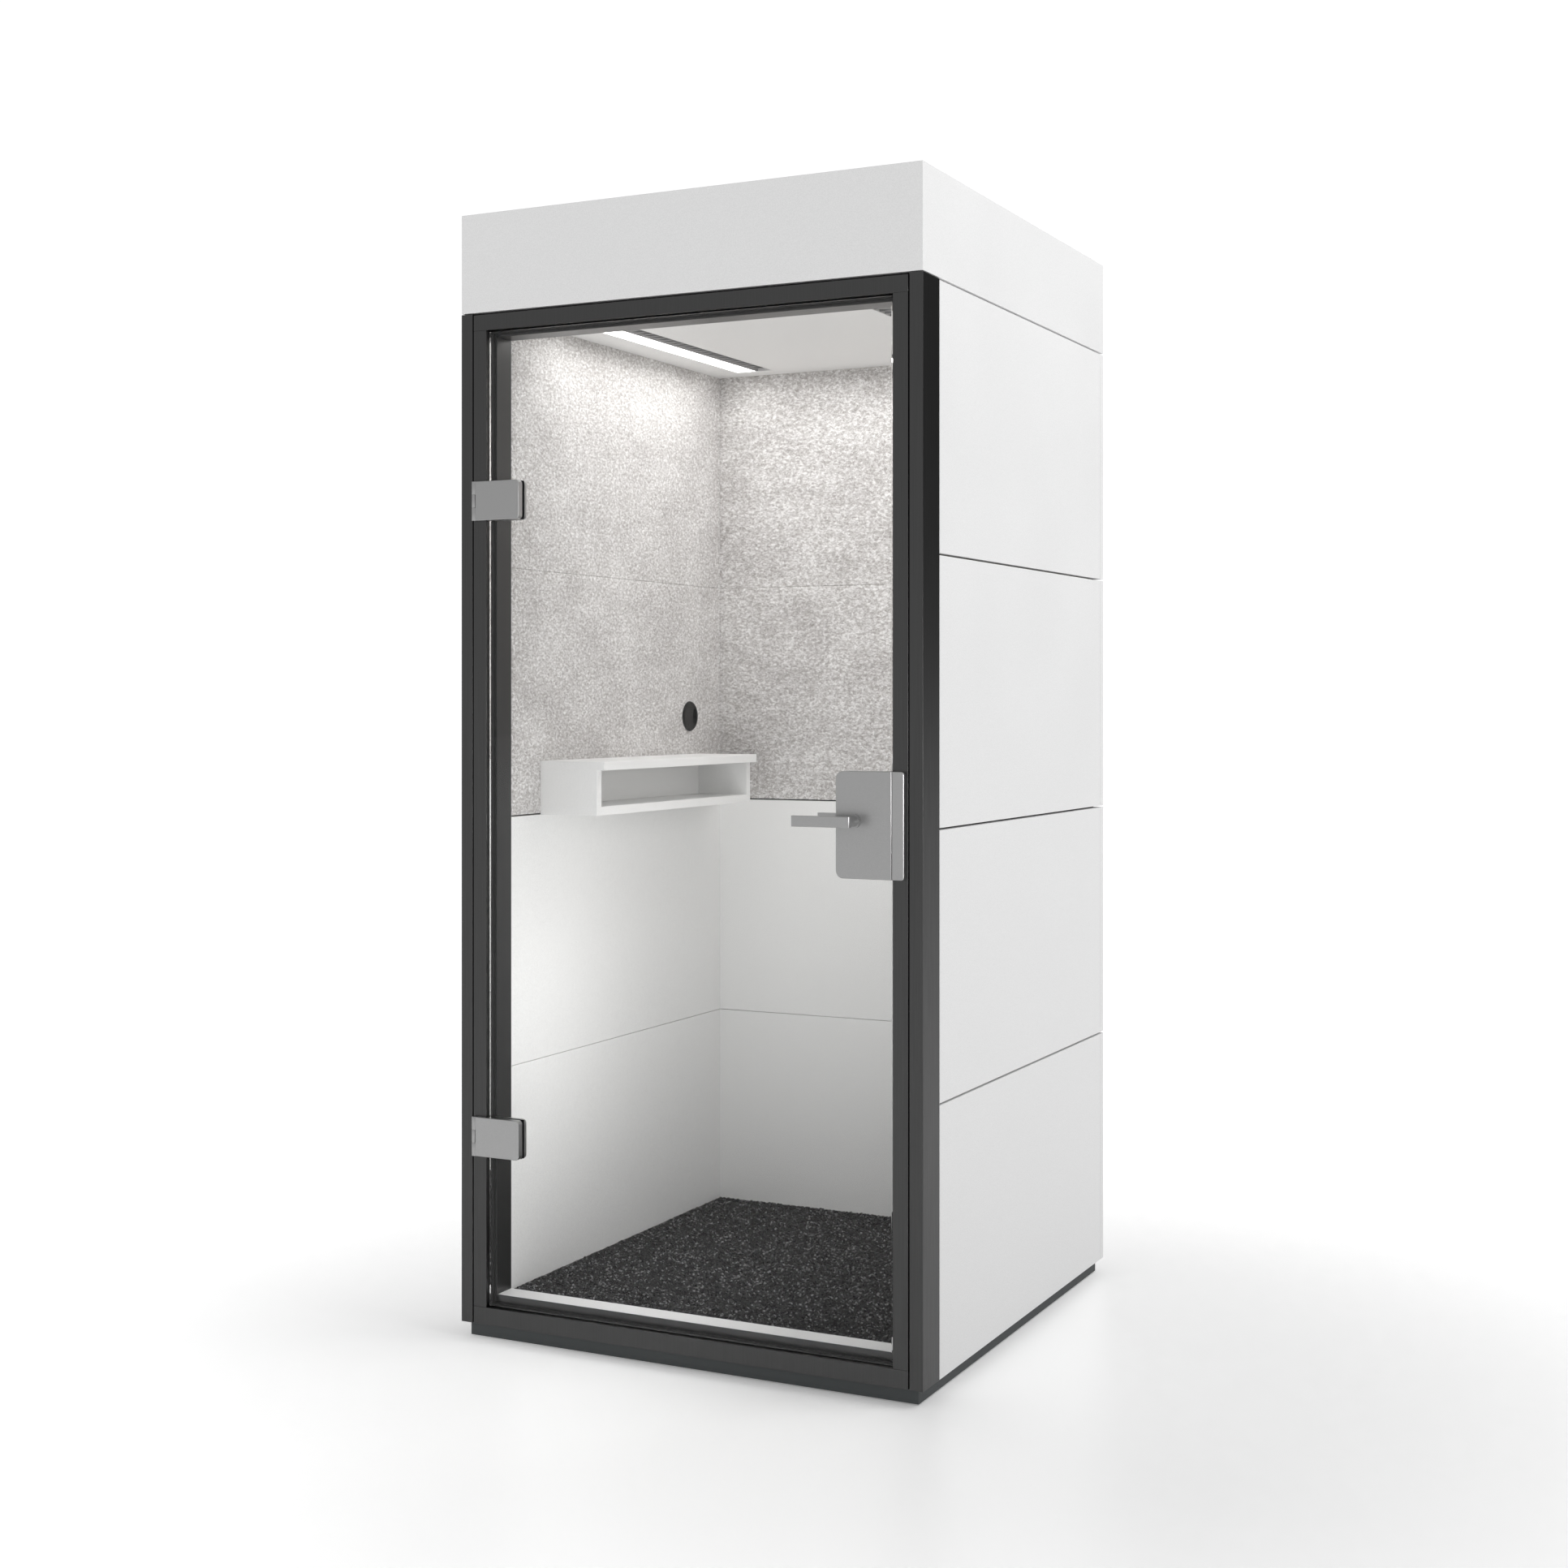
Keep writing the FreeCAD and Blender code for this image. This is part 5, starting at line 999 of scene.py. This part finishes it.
@dataclass
class Shell(SubAssembly):
    """Outer panels, crown, roof lid, plinth and the white lining inside."""

    panel_edge_mm: float = 0.8
    crown_edge_mm: float = 1.0
    sheet_edge_mm: float = 0.5
    screw_head_mm: float = 4.0
    screw_high_mm: float = 1.6
    screw_inset_mm: float = 12.0
    screws_across: int = 5

    def build(self) -> None:
        """Make every board of the shell and the screws that hold the lid."""
        for wall in ("left", "right", "back"):
            self.eased(f"outer_panels_{wall}", Body.BOOTH, self.panel_edge_mm)
            self.eased(f"lining_boards_{wall}", Body.BOOTH, self.sheet_edge_mm)
        self.eased("crown", Body.BOOTH, self.crown_edge_mm)
        for node in ("roof_lid", "plinth_skirt", "ceiling_panel", "mains_inlet", "levelling_feet"):
            self.eased(node, Body.BOOTH, self.sheet_edge_mm, 2)
        self.lid_screws()

    def screw(self) -> Piece:
        """Make one pan-head screw with a round socket, at the origin."""
        head = self.screw_head_mm
        high = self.screw_high_mm
        profile = [
            (0, high * 0.35), (head * 0.35, high * 0.35), (head * 0.42, high), (head * 0.7, high * 0.95),
            (head * 0.93, high * 0.6), (head, 0), (0, 0),
        ]
        return new_piece("lid_screw", lathe(profile, 12, (0, 0, 0)))

    def lid_screws(self) -> None:
        """Lay screws along the lid's four sides."""
        low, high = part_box("roof_lid")
        inset = self.screw_inset_mm * MM
        part = self.screw()
        left, right = low.x + inset, high.x - inset
        front, rear = low.y + inset, high.y - inset
        gaps = self.screws_across - 1
        across = ((right - left) / gaps, 0.0, 0.0)
        along = (0.0, (rear - front) / gaps, 0.0)
        steel = self.palette.materials["steel_plain"]
        rows = [
            Repeats.row("screws_front", part, (left, front, high.z), across, self.screws_across, steel),
            Repeats.row("screws_rear", part, (left, rear, high.z), across, self.screws_across, steel),
        ]
        for name, x in (("screws_left", left), ("screws_right", right)):
            start = (x, front + along[1], high.z)
            rows.append(Repeats.row(name, part, start, along, self.screws_across - 2, steel))
        bpy.data.objects.remove(part)
        screws = joined("lid_screws", rows)
        self.keep(screws, Body.BOOTH, "steel_plain")


@dataclass
class DoorFrame(SubAssembly):
    """Corner posts, the door frame's four members, its seal and the threshold strip."""

    extrusion_edge_mm: float = 0.7
    bulb_steps: int = 10
    seal_wide_mm: float = 5.0
    foot_mm: float = 4.0
    neck_mm: float = 1.4
    bulb_from: float = 60.0
    bulb_round: float = 300.0

    def build(self) -> None:
        """Make the extrusions, the strip and the seal."""
        for node in (
                "corner_post_left", "corner_post_right", "jamb_left", "jamb_right", "frame_head",
                "frame_sill", "threshold_strip"):
            self.eased(node, Body.BOOTH, self.extrusion_edge_mm, 2)
        self.seal()

    def seal(self) -> None:
        """Run a hollow-bulb section round the lip that the glass closes on."""
        low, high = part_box("door_seal")
        wide = self.seal_wide_mm * MM
        half = wide / 2
        rear = high.y
        foot = rear - self.foot_mm * MM
        neck = self.neck_mm * MM
        bulb_centre = (low.y + foot - neck) / 2
        bulb_deep = (foot - neck - low.y) / 2
        section = [(0.0, foot), (0.0, rear), (wide, rear), (wide, foot), (half + neck / 2, foot - neck / 2)]
        for step in range(self.bulb_steps + 1):
            turn = math.radians(self.bulb_from - self.bulb_round * step / self.bulb_steps)
            section.append((half + half * math.cos(turn), bulb_centre + bulb_deep * math.sin(turn)))
        section.append((half - neck / 2, foot - neck / 2))
        shape = bmesh.new()
        rings = []
        for x, inward_x, z, inward_z in (
                (low.x, 1, low.z, 1), (high.x, -1, low.z, 1),
                (high.x, -1, high.z, -1), (low.x, 1, high.z, -1)):
            rings.append([shape.verts.new((x + inward_x * a, y, z + inward_z * a)) for a, y in section])
        for corner, ring in enumerate(rings):
            following = rings[(corner + 1) % len(rings)]
            for index in range(len(section)):
                other = (index + 1) % len(section)
                shape.faces.new((ring[index], following[index], following[other], ring[other]))
        bmesh.ops.recalc_face_normals(shape, faces=shape.faces)
        piece = new_piece("door_seal_bulb", shape)
        piece.data.set_sharp_from_angle(angle=math.radians(SHARP_TURN))
        self.keep(piece, Body.BOOTH, "seal_rubber", "door_seal")


@dataclass
class Door(SubAssembly):
    """The frameless glass door with its hinges, lock, keeper and levers."""

    glass_edge_mm: float = 0.6
    plate_edge_mm: float = 0.25
    lever_edge_mm: float = 0.6

    def build(self) -> None:
        """Round every edge of the door's parts."""
        self.eased("door_glass", Body.DOOR, self.glass_edge_mm, 2)
        for node in ("hinge_front_plates", "hinge_rear_plates", "lock_case_front", "lock_case_rear"):
            self.eased(node, Body.DOOR, self.plate_edge_mm, 2)
        for node in ("lever_outer", "lever_inner"):
            self.eased(node, Body.LEVER, self.lever_edge_mm, 2, True)
        for node in ("keeper", "hinge_frame_leaves"):
            self.eased(node, Body.BOOTH, self.plate_edge_mm, 2)


@dataclass
class SoftLining(SubAssembly):
    """Felt panels on the walls and the loop carpet."""

    cell_mm: float = 24.0
    felt_edge_mm: float = 0.4
    swell_mm: float = 0.35
    swell_pitch_mm: float = 45.0
    tuft_mm: float = 9.0
    tuft_radius_mm: float = 5.2
    # Share of a tuft's radius that stands above its middle, and radii kept free at each edge.
    tuft_top: float = 0.75
    tuft_margin: float = 1.2
    backing_mm: float = 3.0

    def build(self) -> None:
        """Make the three walls' felt and the carpet."""
        for wall in ("left", "right", "back"):
            self.felt(wall)
        self.carpet()

    def felt(self, wall: str) -> None:
        """Make one wall's felt panels, with rolled edges and a slightly uneven face.

        Args:
            wall: The wall's name.
        """
        node = f"felt_panels_{wall}"
        low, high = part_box(node)
        panels = new_piece(f"felt_{wall}", merged_copy(node))
        ease(panels, self.felt_edge_mm, 3)
        shape = bmesh.new()
        shape.from_mesh(panels.data)
        bpy.data.objects.remove(panels)
        cell = self.cell_mm * MM
        axes = (0, 2) if wall == "back" else (1, 2)
        for axis in axes:
            normal = Vector([float(index == axis) for index in range(3)])
            for step in range(1, int((high[axis] - low[axis]) / cell)):
                spot = low + normal * (step * cell)
                every = [*shape.verts, *shape.edges, *shape.faces]
                bmesh.ops.bisect_plane(shape, geom=every, dist=MERGE, plane_co=spot, plane_no=normal)
        outward = {"left": (1, 0, 0), "right": (-1, 0, 0), "back": (0, -1, 0)}
        out = Vector(outward[wall])
        face = max(low.dot(out), high.dot(out))
        deep = self.felt_edge_mm * MM
        for vertex in shape.verts:
            under = face - vertex.co.dot(out)
            if under < MERGE:
                wave = noise.noise(vertex.co / (self.swell_pitch_mm * MM))
                vertex.co -= out * (0.5 + 0.5 * wave) * self.swell_mm * MM
            elif under < deep:
                vertex.co -= out * self.swell_mm * MM * 0.5
        piece = new_piece(f"felt_{wall}", shape)
        piece.data.set_sharp_from_angle(angle=math.radians(SHARP_TURN))
        self.keep(piece, Body.BOOTH, "felt", node)

    def carpet(self) -> None:
        """Lay the carpet's loops on a thin backing."""
        low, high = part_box("carpet")
        radius = self.tuft_radius_mm * MM
        margin = 2 * self.tuft_margin * radius
        inside = high - low - Vector((margin, margin, 0))
        centre = (low + high) / 2
        middle = (centre.x, centre.y, high.z - radius * self.tuft_top)
        wool = self.palette.materials["carpet"]
        loops = Repeats.pile(
            "carpet_loops", (inside.x, inside.y), self.tuft_mm * MM, radius, middle, wool)
        top = Vector((high.x, high.y, low.z + self.backing_mm * MM))
        backing = new_piece("carpet_backing", box_of(low, top))
        piece = joined("carpet_loops", [backing, loops])
        piece.data.shade_smooth()
        self.keep(piece, Body.BOOTH, "carpet", "carpet")


@dataclass
class Shelf(SubAssembly):
    """The shelf box on the left wall and the cable grommet above it."""

    board_edge_mm: float = 0.35
    moulding_edge_mm: float = 1.1

    def build(self) -> None:
        """Round the boards' and the grommet's edges."""
        for node in ("shelf_top", "shelf_bottom", "shelf_ends", "shelf_back"):
            self.eased(node, Body.BOOTH, self.board_edge_mm, 2)
        self.eased("grommet_sleeve", Body.BOOTH, self.moulding_edge_mm, 3, True)
        self.eased("grommet_cap", Body.CAP, self.moulding_edge_mm, 3, True)


@dataclass
class CeilingFixtures(SubAssembly):
    """Light channels, opal diffusers and the finned air louvres beside them."""

    channel_edge_mm: float = 0.4
    fin_pitch_mm: float = 27.0
    strip_mm: float = 3.0
    tip_mm: float = 1.2
    channel_wide_mm: float = 94.0
    fin_clear_mm: float = 2.3

    def build(self) -> None:
        """Make the channels, the diffusers and the louvres."""
        self.eased("light_channels", Body.BOOTH, self.channel_edge_mm, 2)
        self.eased("light_diffusers", Body.BOOTH, self.channel_edge_mm, 2)
        self.louvres()

    def fin(self, reach: float, tall: float, side: float) -> Piece:
        """Make one triangular fin with a blunt tip, at the origin.

        Args:
            reach: How far the fin stands out of its strip.
            tall: The fin's height.
            side: 1 where it points to lower X, or -1.

        Returns:
            The fin.
        """
        half = self.fin_pitch_mm * MM / 2
        tip = self.tip_mm * MM
        outline = [(0.0, -half), (0.0, half), (-reach * side, tip), (-reach * side, -tip)]
        shape = bmesh.new()
        rings = [[shape.verts.new((x, y, z)) for x, y in outline] for z in (0.0, tall)]
        shape.faces.new(rings[0])
        shape.faces.new(rings[1])
        for index in range(len(outline)):
            other = (index + 1) % len(outline)
            shape.faces.new((rings[0][index], rings[0][other], rings[1][other], rings[1][index]))
        bmesh.ops.recalc_face_normals(shape, faces=shape.faces)
        return new_piece("louvre_fin", shape)

    def louvres(self) -> None:
        """Lay a row of fins on each side, on their strips."""
        low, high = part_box("air_louvres")
        channel_low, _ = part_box("light_channels")
        plastic = self.palette.materials["louvre"]
        near = high.x
        far = -channel_low.x - self.channel_wide_mm * MM + self.fin_clear_mm * MM
        strip = self.strip_mm * MM
        pitch = self.fin_pitch_mm * MM
        count = int((high.y - low.y - strip) / pitch)
        parts = []
        for side in (1.0, -1.0):
            root = near - strip
            fin = self.fin(root - far, high.z - low.z, side)
            start = (root * side, low.y + pitch / 2, low.z)
            parts.append(Repeats.row(f"fins_{len(parts)}", fin, start, (0.0, pitch, 0.0), count, plastic))
            bpy.data.objects.remove(fin)
            ends = sorted((root * side, near * side))
            parts.append(new_piece("strip", box_of(
                Vector((ends[0], low.y, low.z)), Vector((ends[1], high.y, high.z)))))
        self.keep(joined("louvre_fins", parts), Body.BOOTH, "louvre", "air_louvres")


@dataclass
class Ventilation(SubAssembly):
    """Fan housings and the wire guards on the roof."""

    housing_edge_mm: float = 0.6
    wire_mm: float = 0.9
    first_mm: float = 12.0
    ring_pitch_mm: float = 7.2
    rings: int = 7
    bars: int = 4
    rim_wide_mm: float = 6.0
    rim_bevel_mm: float = 0.5
    rim_steps: int = 64
    hub_mm: float = 9.0
    hub_bevel_mm: float = 0.6
    hub_steps: int = 32
    # Height of the bevels' lower edge, as a share of the guard's thickness.
    shoulder: float = 0.7

    def build(self) -> None:
        """Make the housings and both guards."""
        self.eased("fan_housings", Body.BOOTH, self.housing_edge_mm, 2)
        self.guards()

    def guards(self) -> None:
        """Make each guard from rings, crossing bars, a hub plate and a flat rim."""
        low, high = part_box("fan_guards")
        paint = self.palette.materials["guard_paint"]
        rim = (high.y - low.y) / 2
        middle_y = (low.y + high.y) / 2
        wire = self.wire_mm * MM
        parts = []
        for side in (-1, 1):
            centre = (side * (high.x - rim), middle_y, (low.z + high.z) / 2)
            name = f"guard_{len(parts)}"
            parts.append(Repeats.rings(
                name, centre, self.first_mm * MM, self.ring_pitch_mm * MM, self.rings, wire, paint))
            for step in range(self.bars):
                bar = box_of(Vector((-rim + wire, -wire, -wire)), Vector((rim - wire, wire, wire)))
                turn = Matrix.Rotation(math.pi * step / self.bars, 4, "Z")
                bmesh.ops.transform(bar, matrix=Matrix.Translation(centre) @ turn, verts=bar.verts)
                parts.append(new_piece(f"bar_{step}", bar))
            thick = (high.z - low.z) / MM
            base = (centre[0], centre[1], low.z)
            outer = rim / MM
            inner = outer - self.rim_wide_mm
            turned = thick * self.shoulder
            flat = [
                (inner, 0), (outer, 0), (outer, turned), (outer - self.rim_bevel_mm, thick), (inner, thick)]
            parts.append(new_piece("rim", lathe(flat, self.rim_steps, base)))
            plate = self.hub_mm
            hub = [(0, 0), (plate, 0), (plate, turned), (plate - self.hub_bevel_mm, thick), (0, thick)]
            parts.append(new_piece("hub", lathe(hub, self.hub_steps, base)))
        piece = joined("fan_guard_wires", parts)
        piece.data.set_sharp_from_angle(angle=math.radians(SHARP_TURN))
        self.keep(piece, Body.BOOTH, "guard_paint", "fan_guards")


# ---------------------------------------------------------------- studio
@dataclass(frozen=True)
class Lamp:
    """A square soft light, in metres and watts, and the kinds of ray that don't see it."""

    name: str
    spot: Point
    aim: Point
    size: float
    power: float
    unseen: tuple[str, ...] = ("camera", "transmission", "glossy")

    def hang(self) -> None:
        """Add the light to the scene."""
        data = bpy.data.lights.new(self.name, "AREA")
        data.shape = "SQUARE"
        data.size = self.size
        data.energy = self.power
        holder = bpy.data.objects.new(self.name, data)
        holder.location = self.spot
        holder.rotation_euler = (Vector(self.aim) - Vector(self.spot)).to_track_quat("-Z", "Y").to_euler()
        for ray in self.unseen:
            setattr(holder, f"visible_{ray}", False)
        bpy.context.scene.collection.objects.link(holder)


LAMPS = (
    Lamp("key", (3.1, 0.4, 4.5), (0.0, 0.0, 2.1), 2.2, 65, ()),
    # Only reflections see this one: it draws the metal's right-hand edges.
    Lamp("rim", (3.0, -1.5, 1.3), (0.3, -0.5, 1.1), 1.0, 30, ("camera", "diffuse", "transmission")),
    # The light that bounces about inside the cabin.
    Lamp("cabin_down", (0.0, 0.03, 2.03), (0.0, 0.03, 0.0), 0.75, 3.9),
    Lamp("cabin_across", (0.05, -0.4, 0.65), (-0.43, -0.36, 0.5), 0.45, 1.5),
    Lamp("cabin_shelf", (0.36, 0.05, 1.2), (-0.43, 0.12, 1.08), 0.4, 0.8),
    Lamp("cabin_back", (0.1, -0.4, 0.95), (-0.1, 0.48, 0.95), 0.75, 0.4),
)


@dataclass
class Studio:
    """Camera, white surroundings, floor and lights."""

    camera_at: Point = (1.9836, -4.0518, 1.2739)
    camera_turn: float = 26.354
    lens_mm: float = 49.14
    sensor_mm: float = 36.0
    shift: float = -0.0533
    sky: float = 0.48
    backdrop: float = 1.05
    # Reflections of the sky are bright before the door and dark on this side.
    dark_side: Point = (0.44, 0.9, 0.0)
    dark_from: float = -0.3
    dark_to: float = 0.5
    shine: float = 0.6
    shine_dark: float = 0.05
    floor_reach: float = 60.0
    floor_gap: float = 0.0005

    def build(self) -> None:
        """Set up everything round the booth."""
        self.camera()
        self.world()
        self.floor()
        for lamp in LAMPS:
            lamp.hang()
        bpy.context.scene.view_settings.view_transform = "Standard"

    def camera(self) -> None:
        """Stand the camera at chest height, to the right of the door, and level."""
        data = bpy.data.cameras.new("camera")
        data.lens = self.lens_mm
        data.sensor_width = self.sensor_mm
        data.shift_y = self.shift
        data.clip_end = self.floor_reach
        holder = bpy.data.objects.new("camera", data)
        holder.location = self.camera_at
        holder.rotation_euler = (math.radians(90), 0, math.radians(self.camera_turn))
        bpy.context.scene.collection.objects.link(holder)
        bpy.context.scene.camera = holder

    def world(self) -> None:
        """Surround the booth with soft light, a white backdrop, and reflections that darken behind it."""
        world = bpy.data.worlds.new("studio")
        world.use_nodes = True
        bpy.context.scene.world = world
        tree = world.node_tree
        tree.nodes.clear()
        way = add_node(tree, "ShaderNodeTexCoord").outputs["Generated"]
        behind = add_node(tree, "ShaderNodeVectorMath", {"operation": "DOT_PRODUCT"}, {
            0: way, 1: self.dark_side})
        shine = add_node(tree, "ShaderNodeMapRange", {"interpolation_type": "SMOOTHSTEP"}, {
            "Value": behind.outputs["Value"], "From Min": self.dark_from, "From Max": self.dark_to,
            "To Min": self.shine, "To Max": self.shine_dark})
        soft, mirrored, seen = (
            add_node(tree, "ShaderNodeBackground", None, {"Color": linear("#ffffff"), "Strength": strength})
            for strength in (self.sky, shine.outputs["Result"], self.backdrop))
        path = add_node(tree, "ShaderNodeLightPath")
        lit = add_node(tree, "ShaderNodeMixShader", None, {
            0: path.outputs["Is Glossy Ray"], 1: soft.outputs[0], 2: mirrored.outputs[0]})
        mixed = add_node(tree, "ShaderNodeMixShader", None, {
            0: path.outputs["Is Camera Ray"], 1: lit.outputs[0], 2: seen.outputs[0]})
        add_node(tree, "ShaderNodeOutputWorld", None, {"Surface": mixed.outputs[0]})

    def floor(self) -> None:
        """Lay a pale floor that meets the booth's feet."""
        reach = self.floor_reach
        shape = bmesh.new()
        corners = [(-reach, -reach), (reach, -reach), (reach, reach), (-reach, reach)]
        under = CAD_BOX[0].z - self.floor_gap
        shape.faces.new([shape.verts.new((x, y, under)) for x, y in corners])
        piece = new_piece("studio_floor", shape)
        # Painted studio floor: white, with a faint broad reflection.
        paint = StudioFloor("studio_paint_white", "#ffffff", 0.35, 0.0, 40.0, 0.01)
        piece.data.materials.append(paint.make())


def main() -> None:
    """Make the booth's pieces in order, then the studio round them."""
    logging.basicConfig(level=logging.INFO, format="%(name)s: %(message)s")
    palette = Palette()
    palette.dress_frame()
    for kind in (Shell, DoorFrame, Door, SoftLining, Shelf, CeilingFixtures, Ventilation):
        kind(palette).build()
    Studio().build()


if __name__ == "__main__":
    main()
